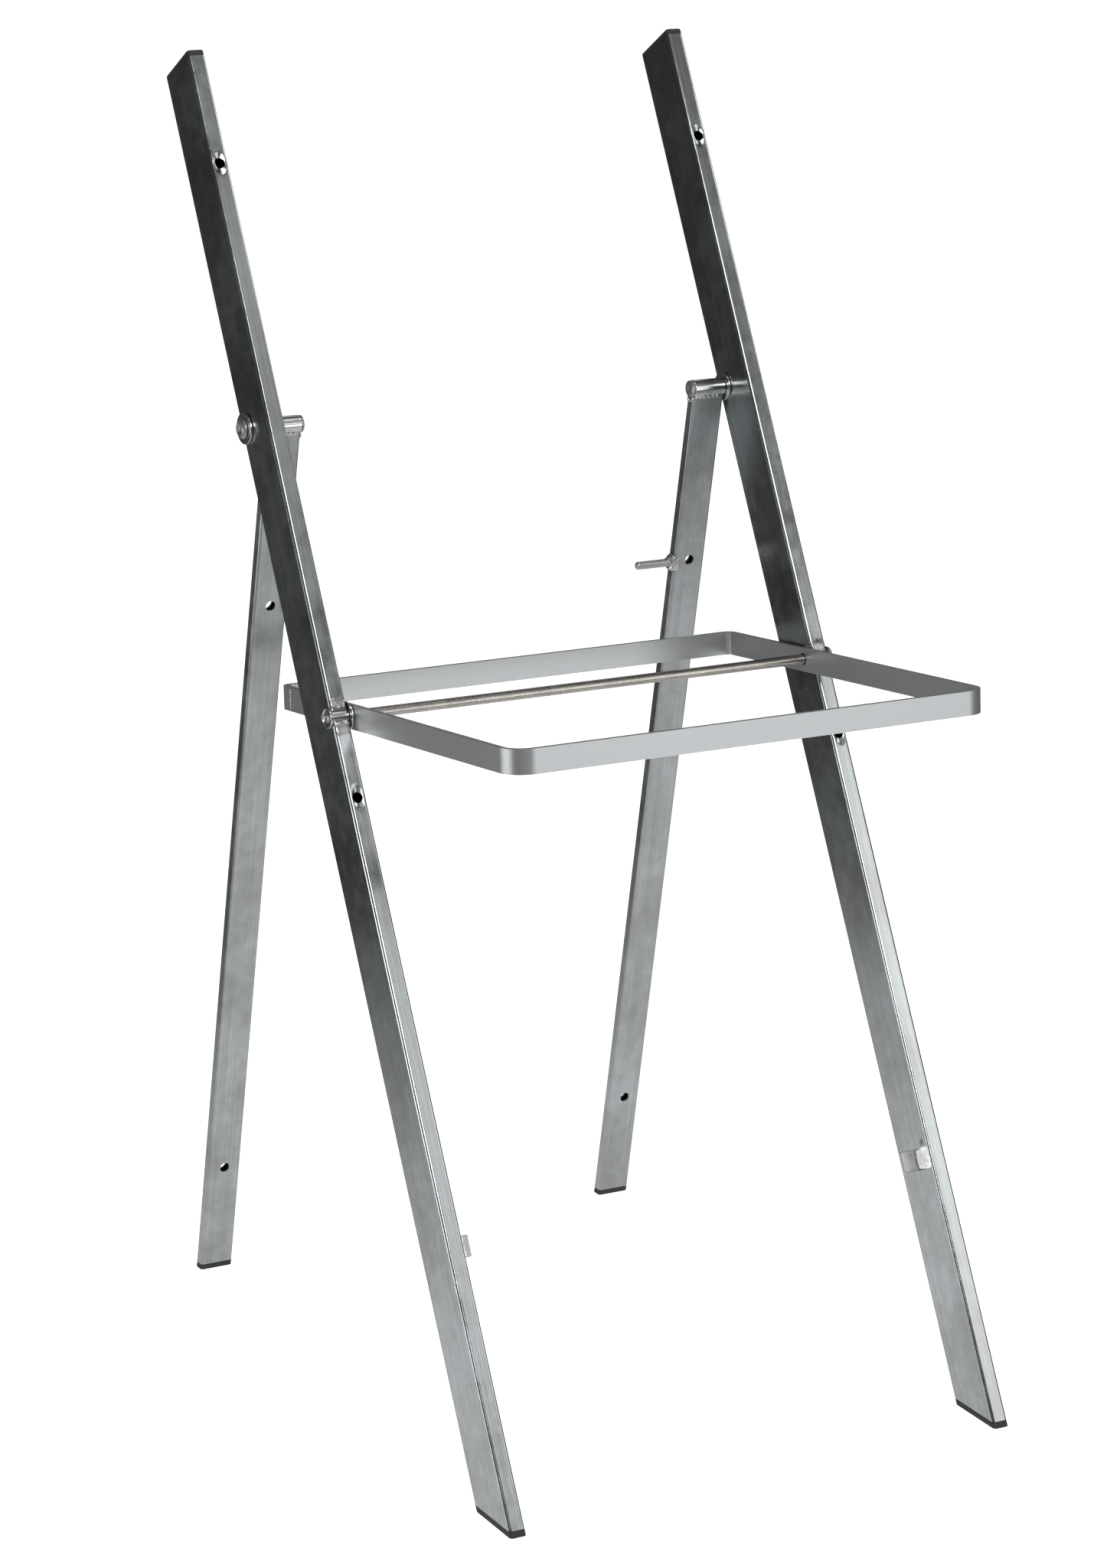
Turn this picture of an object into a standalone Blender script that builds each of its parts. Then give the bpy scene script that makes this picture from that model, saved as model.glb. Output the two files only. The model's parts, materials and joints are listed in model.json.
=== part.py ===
"""Folding chair frame in galvanised steel, without its slats.

Two straight front legs run up and back to carry the backrest. Two rear legs hang from
rivets high on them, and a seat ring of flat bar turns on a cross rod between them.
The chair faces -Y, +X is to the right of someone in front of it, and the floor is z = 0.
"""
import math

import bmesh
import bpy
from mathutils import Matrix

# ---- clearances and fineness ----
GAP = 0.0003                      # between pieces that touch
ROD_CLEARANCE = 0.0003            # radial play of a rod in its bore
ROUND_STEPS = 36                  # facets round a turned piece
CORNER_STEPS = 5                  # facets in a tube's corner
BEND_STEPS = 10                   # facets in a bend of the seat ring
DEEP = 0.2                        # cutters reach this far past what they cut

# ---- front legs: rectangular tube, wide side facing sideways ----
FRAME_WIDTH = 0.346               # over the outer sides of the two front legs
FRONT_TUBE_WIDTH = 0.011          # across, along X
FRONT_TUBE_DEPTH = 0.036          # front to back, square to the leg
FRONT_TUBE_WALL = 0.0015
FRONT_TUBE_RADIUS = 0.002
FRONT_LEG_LENGTH = 0.899          # along the front edge, caps included
FRONT_LEG_LEAN = math.radians(29.2)
TOP_CUT_SLOPE = math.radians(5.2)  # the top is cut lower at the back than square

# ---- rear legs: rectangular tube, wide side facing forward ----
REAR_TUBE_WIDTH = 0.022
REAR_TUBE_DEPTH = 0.008
REAR_TUBE_WALL = 0.0012
REAR_TUBE_RADIUS = 0.0018
REAR_LEG_LEAN = math.radians(8.0)

# ---- plastic end caps ----
CAP_THICKNESS = 0.0034
CAP_PLUG_LENGTH = 0.012
CAP_EDGE = 0.001

# ---- upper pivots, where the rear legs hang from the front legs ----
UPPER_PIVOT_ALONG = 0.671         # up the front leg from its foot
UPPER_PIVOT_FROM_BACK = 0.0065    # in front of the back face of the front leg
RIVET_RADIUS = 0.003
RIVET_HEAD_RADIUS = 0.0062
RIVET_HEAD_HEIGHT = 0.0027
RIVET_TAIL_RADIUS = 0.0053
RIVET_TAIL_HEIGHT = 0.0018
OUTER_WASHER_RADIUS = 0.0095
OUTER_WASHER_THICKNESS = 0.0016
INNER_WASHER_RADIUS = 0.0090
INNER_WASHER_THICKNESS = 0.0012
REAR_BARREL_RADIUS = 0.0055

# ---- seat pivot: a cross rod through barrels let into the front legs ----
SEAT_ROD_ALONG = 0.4854           # up the front leg from its foot
SEAT_ROD_DEPTH = 0.0041           # behind the front face of the front leg
SEAT_ROD_RADIUS = 0.0031
SEAT_BARREL_RADIUS = 0.0048
SEAT_WASHER_RADIUS = 0.0085
SEAT_WASHER_THICKNESS = 0.0012
ROD_END_WASHER_RADIUS = 0.0062
ROD_END_WASHER_THICKNESS = 0.0016
ROD_HEAD_RADIUS = 0.0038
ROD_HEAD_HEIGHT = 0.0026

# ---- seat ring: flat bar on edge, bent to a rectangle ----
RING_BAR_HEIGHT = 0.0145
RING_BAR_THICKNESS = 0.0035
RING_REACH_FORWARD = 0.1955       # from the rod to the outside of the front bar
RING_REACH_BACK = 0.0892          # from the rod to the outside of the rear bar
RING_FRONT_CORNER = 0.015         # outside radius
RING_REAR_CORNER = 0.0065
RING_ROD_BELOW_TOP = 0.0068       # rod axis below the ring's upper edge
RING_TILT = math.radians(6.9)     # front bar higher than the rear bar

# ---- stops and slat holes ----
STOP_PIN_RADIUS = 0.0026
STOP_PIN_LENGTH = 0.026
STOP_PIN_ALONG = 0.117            # down the rear leg from its pivot
STOP_BEAD_RADIUS = 0.0045
STOP_BEAD_LENGTH = 0.005
FOLD_TAB_ALONG = 0.169            # up the front leg from its foot
FOLD_TAB_BEFORE_PIVOT = 0.0155    # front face of the tab, in front of the upper pivot
FOLD_TAB_WIDTH = 0.0105
FOLD_TAB_HEIGHT = 0.0130
FOLD_TAB_THICKNESS = 0.003
FOLD_BEAD_RADIUS = 0.0026
REAR_HOLE_RADIUS = 0.0032
REAR_HOLE_BACK_RADIUS = 0.0045       # in the back wall, wide enough for a screw's head
REAR_HOLES_ALONG = (0.115, 0.503)
FRONT_HOLE_RADIUS = 0.0033
SEAT_HOLE_BELOW_ROD = 0.0496
TOP_HOLE_BELOW_TOP = 0.0718

# ---- places worked out from the sizes above ----
SIDES = {"left": -1, "right": 1}
FRONT_OUTER_X = FRAME_WIDTH / 2
FRONT_CENTRE_X = FRONT_OUTER_X - FRONT_TUBE_WIDTH / 2
FRONT_INNER_X = FRONT_OUTER_X - FRONT_TUBE_WIDTH
REAR_OUTER_X = FRONT_INNER_X - INNER_WASHER_THICKNESS - 2 * GAP
REAR_CENTRE_X = REAR_OUTER_X - REAR_TUBE_WIDTH / 2
REAR_INNER_X = REAR_OUTER_X - REAR_TUBE_WIDTH
RING_OUTER_X = FRONT_INNER_X - SEAT_WASHER_THICKNESS - 2 * GAP
UPPER_PIVOT_DEPTH = FRONT_TUBE_DEPTH - UPPER_PIVOT_FROM_BACK  # behind the leg's front face
FOLD_TAB_DEPTH = UPPER_PIVOT_DEPTH - FOLD_TAB_BEFORE_PIVOT
FRONT_HOLES_ALONG = (SEAT_ROD_ALONG - SEAT_HOLE_BELOW_ROD, FRONT_LEG_LENGTH - TOP_HOLE_BELOW_TOP)

LEAN_SIN = math.sin(FRONT_LEG_LEAN)
LEAN_COS = math.cos(FRONT_LEG_LEAN)
REAR_DROP = FRONT_TUBE_DEPTH * math.tan(TOP_CUT_SLOPE)
FRAME_DEPTH = (FRONT_LEG_LENGTH - REAR_DROP) * LEAN_SIN + FRONT_TUBE_DEPTH * LEAN_COS
FOOT_Y = -FRAME_DEPTH / 2         # front edge of a front foot


def on_front_leg(along, depth):
    """World y and z of a point up the front leg and behind its front face."""
    y = FOOT_Y + along * LEAN_SIN + depth * LEAN_COS
    z = along * LEAN_COS - depth * LEAN_SIN
    return y, z


# ---- collections, materials and frames ----
def clear_scene():
    for obj in list(bpy.data.objects):
        bpy.data.objects.remove(obj, do_unlink=True)


def new_collection(name):
    collection = bpy.data.collections.new(name)
    bpy.context.scene.collection.children.link(collection)
    return collection


def material(name, color, roughness, metallic):
    result = bpy.data.materials.new(name)
    result.use_nodes = True
    shader = result.node_tree.nodes["Principled BSDF"]
    shader.inputs["Base Color"].default_value = (*color, 1.0)
    shader.inputs["Roughness"].default_value = roughness
    shader.inputs["Metallic"].default_value = metallic
    result.diffuse_color = (*color, 1.0)
    return result


def frame(name, location, tilt):
    """An empty turned about X, for pieces that share its axes."""
    empty = bpy.data.objects.new(name, None)
    empty.empty_display_size = 0.03
    empty.location = location
    empty.rotation_euler = (tilt, 0.0, 0.0)
    PARTS.objects.link(empty)
    return empty


def add(name, mesh, parent, location, rotation=(0.0, 0.0, 0.0), finish=None):
    obj = bpy.data.objects.new(name, mesh)
    PARTS.objects.link(obj)
    obj.parent = parent
    obj.location = location
    obj.rotation_euler = rotation
    if finish is not None:
        obj.data.materials.append(finish)
    return obj


def make_cutter(obj):
    PARTS.objects.unlink(obj)
    CUTTERS.objects.link(obj)
    obj.hide_render = True
    obj.display_type = "WIRE"
    return obj


def boolean(obj, other, operation="DIFFERENCE"):
    modifier = obj.modifiers.new(operation.lower(), "BOOLEAN")
    modifier.operation = operation
    modifier.solver = "EXACT"
    modifier.object = other


# ---- shapes ----
def rounded_rectangle(width, depth, radii, steps):
    """Outline about the origin; radii are for the +x+y, -x+y, -x-y and +x-y corners."""
    signs = ((1, 1), (-1, 1), (-1, -1), (1, -1))
    points = []
    for quarter, ((sx, sy), radius) in enumerate(zip(signs, radii)):
        centre_x = sx * (width / 2 - radius)
        centre_y = sy * (depth / 2 - radius)
        for step in range(steps + 1):
            angle = (quarter + step / steps) * math.pi / 2
            points.append((centre_x + radius * math.cos(angle), centre_y + radius * math.sin(angle)))
    return points


def outline_solid(name, outlines, low, high):
    """A flat outline, with holes where further outlines lie inside it, from z low to z high."""
    curve = bpy.data.curves.new(name + "_outline", "CURVE")
    curve.dimensions = "2D"
    curve.fill_mode = "BOTH"
    curve.extrude = (high - low) / 2
    for points in outlines:
        spline = curve.splines.new("POLY")
        spline.points.add(len(points) - 1)
        for point, (x, y) in zip(spline.points, points):
            point.co = (x, y, 0.0, 1.0)
        spline.use_cyclic_u = True
    holder = bpy.data.objects.new(name + "_outline", curve)
    PARTS.objects.link(holder)
    depsgraph = bpy.context.evaluated_depsgraph_get()
    mesh = bpy.data.meshes.new_from_object(holder.evaluated_get(depsgraph))
    bpy.data.objects.remove(holder)
    bpy.data.curves.remove(curve)
    mesh.name = name
    shape = bmesh.new()
    shape.from_mesh(mesh)
    bmesh.ops.remove_doubles(shape, verts=shape.verts, dist=0.00001)
    bmesh.ops.translate(shape, verts=shape.verts, vec=(0.0, 0.0, (high + low) / 2))
    bmesh.ops.recalc_face_normals(shape, faces=shape.faces)
    shape.to_mesh(mesh)
    shape.free()
    mesh.shade_smooth()
    mesh.set_sharp_from_angle(angle=math.radians(35))
    return mesh


def block_mesh(name, size, centre=(0.0, 0.0, 0.0)):
    mesh = bpy.data.meshes.new(name)
    shape = bmesh.new()
    place = Matrix.Translation(centre) @ Matrix.Diagonal((*size, 1.0))
    bmesh.ops.create_cube(shape, size=1.0, matrix=place)
    shape.to_mesh(mesh)
    shape.free()
    return mesh


def cylinder_mesh(name, radius, length, axis="X"):
    """A plain cylinder about the origin, for cutting round holes."""
    turns = {"X": Matrix.Rotation(math.pi / 2, 4, "Y"), "Y": Matrix.Rotation(math.pi / 2, 4, "X")}
    mesh = bpy.data.meshes.new(name)
    shape = bmesh.new()
    bmesh.ops.create_cone(shape, cap_ends=True, segments=ROUND_STEPS, radius1=radius, radius2=radius,
                          depth=length, matrix=turns[axis])
    shape.to_mesh(mesh)
    shape.free()
    return mesh


def turned(name, profile, side, place, parent, finish, closed=False):
    """A piece turned about an axis along X. The profile is (radius, outward x) from the
    outboard end inward; closed profiles make rings. side is -1 for the left-hand piece."""
    mesh = bpy.data.meshes.new(name)
    shape = bmesh.new()
    verts = [shape.verts.new((radius, 0.0, x)) for radius, x in profile]
    pairs = list(zip(verts, verts[1:]))
    if closed:
        pairs.append((verts[-1], verts[0]))
    for first, second in pairs:
        shape.edges.new((first, second))
    shape.to_mesh(mesh)
    shape.free()
    obj = add(name, mesh, parent, place, (0.0, side * math.pi / 2, 0.0), finish)
    screw = obj.modifiers.new("turn", "SCREW")
    screw.axis = "Z"
    screw.steps = ROUND_STEPS
    screw.render_steps = ROUND_STEPS
    screw.use_merge_vertices = True
    screw.merge_threshold = 0.00001
    screw.use_smooth_shade = True
    return obj


def washer_profile(outer, inner, thickness, edge=0.0003):
    """Section of a washer or barrel whose outboard face is at x = 0, going inboard."""
    return [(inner, 0.0), (outer - edge, 0.0), (outer, -edge), (outer, edge - thickness),
            (outer - edge, -thickness), (inner, -thickness)]


def domed_profile(radius, base, height, steps=6):
    """Quarter of an ellipse from the crown on the axis down to the rim at x = base."""
    points = []
    for step in range(steps + 1):
        angle = step / steps * math.pi / 2
        points.append((radius * math.sin(angle), base + height * math.cos(angle)))
    return points


# ---- sub-parts ----
def cross_hole(obj, name, radius, parent, depth, along):
    """A round hole along X through a piece."""
    mesh = cylinder_mesh(name, radius, FRAME_WIDTH + DEEP)
    boolean(obj, make_cutter(add(name, mesh, parent, (0.0, depth, along))))


def floor_slab(name, low, high):
    """A horizontal layer of the world, for trimming feet and their caps."""
    mesh = block_mesh(name, (1.5, 1.5, high - low), (0.0, 0.0, (high + low) / 2))
    return make_cutter(add(name, mesh, None, (0.0, 0.0, 0.0)))


def tube_outlines(width, depth, wall, radius):
    outer = rounded_rectangle(width, depth, [radius] * 4, CORNER_STEPS)
    inner_radius = radius - wall if radius > wall + 0.0003 else 0.0003
    inner = rounded_rectangle(width - 2 * wall, depth - 2 * wall, [inner_radius] * 4, CORNER_STEPS)
    return outer, inner


def plug_outline(width, depth, wall):
    inset = 2 * (wall + GAP)
    return rounded_rectangle(width - inset, depth - inset, [0.0008] * 4, CORNER_STEPS)


def slope_top(shape, above):
    """Lowers the vertices above a height the more, the further back they are."""
    slope = Matrix.Identity(4)
    slope[2][1] = -REAR_DROP / FRONT_TUBE_DEPTH
    slope[2][3] = -REAR_DROP / 2
    verts = [vert for vert in shape.verts if vert.co.z > above]
    bmesh.ops.transform(shape, matrix=slope, verts=verts)


def sloped(mesh, above):
    shape = bmesh.new()
    shape.from_mesh(mesh)
    slope_top(shape, above)
    shape.to_mesh(mesh)
    shape.free()
    return mesh


def front_leg(side_name, side):
    """The tube, cut level above the foot cap and parallel to the top cap."""
    top = FRONT_LEG_LENGTH - CAP_THICKNESS - GAP
    outlines = tube_outlines(FRONT_TUBE_WIDTH, FRONT_TUBE_DEPTH, FRONT_TUBE_WALL, FRONT_TUBE_RADIUS)
    mesh = outline_solid("front_leg_" + side_name, outlines, -FRONT_TUBE_DEPTH, top)
    sloped(mesh, 0.0)
    place = (side * FRONT_CENTRE_X, FRONT_TUBE_DEPTH / 2, 0.0)
    leg = add("front_leg_" + side_name, mesh, FRONT_FRAME, place, finish=ZINC)
    boolean(leg, FOOT_TRIM)
    cross_hole(leg, "rivet_hole_front_" + side_name, RIVET_RADIUS + ROD_CLEARANCE, FRONT_FRAME,
               UPPER_PIVOT_DEPTH, UPPER_PIVOT_ALONG)
    cross_hole(leg, "barrel_notch_" + side_name, SEAT_BARREL_RADIUS + GAP, FRONT_FRAME,
               SEAT_ROD_DEPTH, SEAT_ROD_ALONG)
    for number, along in enumerate(FRONT_HOLES_ALONG, start=1):
        name = f"slat_hole_front_{side_name}_{number}"
        mesh = cylinder_mesh(name, FRONT_HOLE_RADIUS, FRONT_TUBE_DEPTH, "Y")
        boolean(leg, make_cutter(add(name, mesh, FRONT_FRAME, (side * FRONT_CENTRE_X, 0.0, along))))
    return leg


def end_cap(name, tube, parent, place, trim_outer, trim_plug, reach):
    """A flush cap with a plug that fills the end of its tube."""
    width, depth, wall, radius = tube
    outer = rounded_rectangle(width, depth, [radius] * 4, CORNER_STEPS)
    cap = add(name, outline_solid(name, [outer], -reach, reach), parent, place, finish=PLASTIC)
    boolean(cap, trim_outer, "INTERSECT")
    plug_name = name + "_plug"
    plug = add(plug_name, outline_solid(plug_name, [plug_outline(width, depth, wall)], -reach, reach),
               parent, place)
    boolean(make_cutter(plug), trim_plug, "INTERSECT")
    boolean(cap, plug, "UNION")
    return cap


def top_cap(side_name, side):
    """Cap over the sloping cut, with its edges eased."""
    name = "top_cap_" + side_name
    outer = rounded_rectangle(FRONT_TUBE_WIDTH, FRONT_TUBE_DEPTH, [FRONT_TUBE_RADIUS] * 4, CORNER_STEPS)
    mesh = outline_solid(name, [outer], -CAP_THICKNESS, 0.0)
    shape = bmesh.new()
    shape.from_mesh(mesh)
    rim = [edge for edge in shape.edges if all(vert.co.z > -CAP_EDGE for vert in edge.verts)
           and len(edge.link_faces) == 2 and edge.calc_face_angle() > 1.0]
    bmesh.ops.bevel(shape, geom=rim, offset=CAP_EDGE, segments=2, profile=0.5, affect="EDGES", material=-1)
    slope_top(shape, -2 * CAP_THICKNESS)
    shape.to_mesh(mesh)
    shape.free()
    place = (side * FRONT_CENTRE_X, FRONT_TUBE_DEPTH / 2, FRONT_LEG_LENGTH)
    cap = add(name, mesh, FRONT_FRAME, place, finish=PLASTIC)
    outline = plug_outline(FRONT_TUBE_WIDTH, FRONT_TUBE_DEPTH, FRONT_TUBE_WALL)
    mesh = outline_solid(name + "_plug", [outline], -CAP_THICKNESS - CAP_PLUG_LENGTH, -CAP_THICKNESS / 2)
    sloped(mesh, -CAP_THICKNESS - 2 * CAP_PLUG_LENGTH)
    boolean(cap, make_cutter(add(name + "_plug", mesh, FRONT_FRAME, place)), "UNION")
    return cap


def rear_leg(side_name, side, rear_frame):
    """The tube, coped round its barrel at the top and cut level above the foot cap."""
    outlines = tube_outlines(REAR_TUBE_WIDTH, REAR_TUBE_DEPTH, REAR_TUBE_WALL, REAR_TUBE_RADIUS)
    mesh = outline_solid("rear_leg_" + side_name, outlines, -REAR_LEG_REACH, 0.0)
    leg = add("rear_leg_" + side_name, mesh, rear_frame, (side * REAR_CENTRE_X, 0.0, 0.0), finish=ZINC)
    boolean(leg, FOOT_TRIM)
    cross_hole(leg, "cope_" + side_name, REAR_BARREL_RADIUS + GAP, rear_frame, 0.0, 0.0)
    for number, along in enumerate(REAR_HOLES_ALONG, start=1):
        name = f"slat_hole_rear_{side_name}_{number}"
        mesh = cylinder_mesh(name, REAR_HOLE_RADIUS, 4 * REAR_TUBE_DEPTH, "Y")
        boolean(leg, make_cutter(add(name, mesh, rear_frame, (side * REAR_CENTRE_X, 0.0, -along))))
        mesh = cylinder_mesh(name + "_back", REAR_HOLE_BACK_RADIUS, 4 * REAR_TUBE_DEPTH, "Y")
        place = (side * REAR_CENTRE_X, 2 * REAR_TUBE_DEPTH, -along)
        boolean(leg, make_cutter(add(name + "_back", mesh, rear_frame, place)))
    return leg


def rear_barrel(side_name, side, rear_frame):
    """Short tube across the top of the rear leg, turning on the rivet."""
    profile = washer_profile(REAR_BARREL_RADIUS, RIVET_RADIUS + ROD_CLEARANCE, REAR_TUBE_WIDTH)
    turned("rear_barrel_" + side_name, profile, side, (side * REAR_OUTER_X, 0.0, 0.0), rear_frame,
           ZINC, closed=True)


def stop_pin(side_name, side, rear_frame):
    """Round pin standing inboard from the rear leg, in its weld bead."""
    tip = STOP_PIN_LENGTH - STOP_PIN_RADIUS
    profile = [(0.0, 0.0), (STOP_BEAD_RADIUS, 0.0), (STOP_BEAD_RADIUS, -0.0012),
               (STOP_PIN_RADIUS, -STOP_BEAD_LENGTH)]
    for radius, height in reversed(domed_profile(STOP_PIN_RADIUS, tip, STOP_PIN_RADIUS)):
        profile.append((radius, -height))
    place = (side * (REAR_INNER_X - GAP), 0.0, -STOP_PIN_ALONG)
    turned("stop_pin_" + side_name, profile, side, place, rear_frame, ZINC)


def upper_rivet(side_name, side):
    """Rivet through washer, front leg, washer and rear barrel, closed over inboard."""
    outboard = FRONT_OUTER_X + OUTER_WASHER_THICKNESS + 2 * GAP
    inboard = REAR_INNER_X - GAP
    profile = domed_profile(RIVET_HEAD_RADIUS, 0.0, RIVET_HEAD_HEIGHT)
    shank = inboard - outboard
    profile += [(RIVET_RADIUS, 0.0), (RIVET_RADIUS, shank), (RIVET_TAIL_RADIUS, shank),
                (RIVET_TAIL_RADIUS, shank - RIVET_TAIL_HEIGHT * 0.7),
                (RIVET_TAIL_RADIUS * 0.85, shank - RIVET_TAIL_HEIGHT), (0.0, shank - RIVET_TAIL_HEIGHT)]
    place = (side * outboard, UPPER_PIVOT_DEPTH, UPPER_PIVOT_ALONG)
    turned("upper_rivet_" + side_name, profile, side, place, FRONT_FRAME, RIVET_STEEL)


def upper_washers(side_name, side):
    bore = RIVET_RADIUS + ROD_CLEARANCE
    outer = washer_profile(OUTER_WASHER_RADIUS, bore, OUTER_WASHER_THICKNESS)
    place = (side * (FRONT_OUTER_X + GAP + OUTER_WASHER_THICKNESS), UPPER_PIVOT_DEPTH, UPPER_PIVOT_ALONG)
    turned("upper_washer_outer_" + side_name, outer, side, place, FRONT_FRAME, ZINC, closed=True)
    inner = washer_profile(INNER_WASHER_RADIUS, bore, INNER_WASHER_THICKNESS)
    place = (side * (FRONT_INNER_X - GAP), UPPER_PIVOT_DEPTH, UPPER_PIVOT_ALONG)
    turned("upper_washer_inner_" + side_name, inner, side, place, FRONT_FRAME, ZINC, closed=True)


def seat_pivot(side_name, side):
    """Barrel let into the front edge of the leg, with a washer on each side of it."""
    bore = SEAT_ROD_RADIUS + ROD_CLEARANCE
    depth_along = (SEAT_ROD_DEPTH, SEAT_ROD_ALONG)
    barrel = washer_profile(SEAT_BARREL_RADIUS, bore, FRONT_TUBE_WIDTH)
    turned("seat_barrel_" + side_name, barrel, side, (side * FRONT_OUTER_X, *depth_along), FRONT_FRAME,
           ZINC, closed=True)
    inner = washer_profile(SEAT_WASHER_RADIUS, bore, SEAT_WASHER_THICKNESS)
    turned("seat_washer_" + side_name, inner, side, (side * (FRONT_INNER_X - GAP), *depth_along),
           FRONT_FRAME, ZINC, closed=True)
    outer = washer_profile(ROD_END_WASHER_RADIUS, bore, ROD_END_WASHER_THICKNESS)
    outer_x = FRONT_OUTER_X + GAP + ROD_END_WASHER_THICKNESS
    turned("rod_end_washer_" + side_name, outer, side, (side * outer_x, *depth_along), FRONT_FRAME,
           ZINC, closed=True)


def seat_rod():
    """Cross rod from leg to leg, riveted over a washer at each end."""
    end = FRONT_OUTER_X + ROD_END_WASHER_THICKNESS + 2 * GAP
    half = domed_profile(ROD_HEAD_RADIUS, end, ROD_HEAD_HEIGHT) + [(SEAT_ROD_RADIUS, end)]
    other = [(radius, -x) for radius, x in reversed(half)]
    turned("seat_rod", half + other, 1, (0.0, SEAT_ROD_DEPTH, SEAT_ROD_ALONG), FRONT_FRAME, ROD_STEEL)


def fold_tab(side_name, side):
    """Small plate on the inner side of the front leg that the folded rear leg rests on."""
    name = "fold_tab_" + side_name
    size = (FOLD_TAB_WIDTH, FOLD_TAB_THICKNESS, FOLD_TAB_HEIGHT)
    centre_x = side * (FRONT_INNER_X - GAP - FOLD_TAB_WIDTH / 2)
    place = (centre_x, FOLD_TAB_DEPTH + FOLD_TAB_THICKNESS / 2, FOLD_TAB_ALONG)
    tab = add(name, block_mesh(name, size), FRONT_FRAME, place, finish=ZINC)
    bevel = tab.modifiers.new("edges", "BEVEL")
    bevel.width = 0.0004
    bevel.segments = 1
    bead = bpy.data.meshes.new(name + "_bead")
    shape = bmesh.new()
    stretch = Matrix.Diagonal((1.0, 1.0, 0.5 * FOLD_TAB_HEIGHT / FOLD_BEAD_RADIUS + 0.1, 1.0))
    bmesh.ops.create_uvsphere(shape, u_segments=16, v_segments=10, radius=FOLD_BEAD_RADIUS,
                              matrix=Matrix.Translation((0.0, -0.0008, 0.0)) @ stretch)
    shape.to_mesh(bead)
    shape.free()
    bead_x = side * (FRONT_INNER_X - GAP - FOLD_BEAD_RADIUS)
    bead_place = (bead_x, FOLD_TAB_DEPTH, FOLD_TAB_ALONG)
    boolean(tab, make_cutter(add(name + "_bead", bead, FRONT_FRAME, bead_place)), "UNION")


def seat_ring(ring_frame):
    """Flat bar on edge, tight bends at the back and wider ones in front, drilled for the rod."""
    width = 2 * RING_OUTER_X
    depth = RING_REACH_FORWARD + RING_REACH_BACK
    radii = [RING_REAR_CORNER, RING_REAR_CORNER, RING_FRONT_CORNER, RING_FRONT_CORNER]
    inner_radii = [radius - RING_BAR_THICKNESS for radius in radii]
    outer = rounded_rectangle(width, depth, radii, BEND_STEPS)
    inner = rounded_rectangle(width - 2 * RING_BAR_THICKNESS, depth - 2 * RING_BAR_THICKNESS,
                              inner_radii, BEND_STEPS)
    low = RING_ROD_BELOW_TOP - RING_BAR_HEIGHT
    mesh = outline_solid("seat_ring", [outer, inner], low, RING_ROD_BELOW_TOP)
    place = (0.0, (RING_REACH_BACK - RING_REACH_FORWARD) / 2, 0.0)
    ring = add("seat_ring", mesh, ring_frame, place, finish=ZINC)
    cross_hole(ring, "rod_holes", SEAT_ROD_RADIUS + 2 * ROD_CLEARANCE, ring_frame, 0.0, 0.0)


# ---- build ----
clear_scene()
PARTS = new_collection("folding_chair_frame")
CUTTERS = new_collection("cutters")
ZINC = material("galvanised_steel", (0.42, 0.43, 0.43), 0.38, 1.0)
ROD_STEEL = material("rod_steel", (0.40, 0.38, 0.36), 0.25, 1.0)
RIVET_STEEL = material("rivet_steel", (0.36, 0.37, 0.37), 0.32, 1.0)
PLASTIC = material("black_plastic", (0.015, 0.015, 0.016), 0.45, 0.0)

PIVOT_Y, PIVOT_Z = on_front_leg(UPPER_PIVOT_ALONG, UPPER_PIVOT_DEPTH)
ROD_Y, ROD_Z = on_front_leg(SEAT_ROD_ALONG, SEAT_ROD_DEPTH)
REAR_LEG_REACH = PIVOT_Z / math.cos(REAR_LEG_LEAN) + REAR_TUBE_DEPTH

FRONT_FRAME = frame("front_frame", (0.0, FOOT_Y, 0.0), -FRONT_LEG_LEAN)
FOOT_TRIM = floor_slab("foot_trim", -DEEP, CAP_THICKNESS + GAP)
CAP_LAYER = floor_slab("cap_layer", 0.0, CAP_THICKNESS)
PLUG_LAYER = floor_slab("plug_layer", CAP_THICKNESS / 2, CAP_THICKNESS + CAP_PLUG_LENGTH)
FRONT_TUBE = (FRONT_TUBE_WIDTH, FRONT_TUBE_DEPTH, FRONT_TUBE_WALL, FRONT_TUBE_RADIUS)
REAR_TUBE = (REAR_TUBE_WIDTH, REAR_TUBE_DEPTH, REAR_TUBE_WALL, REAR_TUBE_RADIUS)

for side_name, side in SIDES.items():
    front_leg(side_name, side)
    top_cap(side_name, side)
    foot_place = (side * FRONT_CENTRE_X, FRONT_TUBE_DEPTH / 2, 0.0)
    end_cap("front_foot_cap_" + side_name, FRONT_TUBE, FRONT_FRAME, foot_place, CAP_LAYER, PLUG_LAYER,
            2 * FRONT_TUBE_DEPTH)
    upper_rivet(side_name, side)
    upper_washers(side_name, side)
    seat_pivot(side_name, side)
    fold_tab(side_name, side)

    rear_frame = frame("rear_frame_" + side_name, (0.0, PIVOT_Y, PIVOT_Z), REAR_LEG_LEAN)
    rear_leg(side_name, side, rear_frame)
    rear_barrel(side_name, side, rear_frame)
    stop_pin(side_name, side, rear_frame)
    foot_place = (side * REAR_CENTRE_X, 0.0, -REAR_LEG_REACH)
    end_cap("rear_foot_cap_" + side_name, REAR_TUBE, rear_frame, foot_place, CAP_LAYER, PLUG_LAYER,
            6 * REAR_TUBE_DEPTH)

seat_rod()
seat_ring(frame("ring_frame", (0.0, ROD_Y, ROD_Z), -RING_TILT))
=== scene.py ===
import json
import math

import bmesh
import bpy
from bpy.props import FloatProperty, FloatVectorProperty, IntProperty, PointerProperty
from mathutils import Euler, Matrix, Vector, noise


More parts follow.
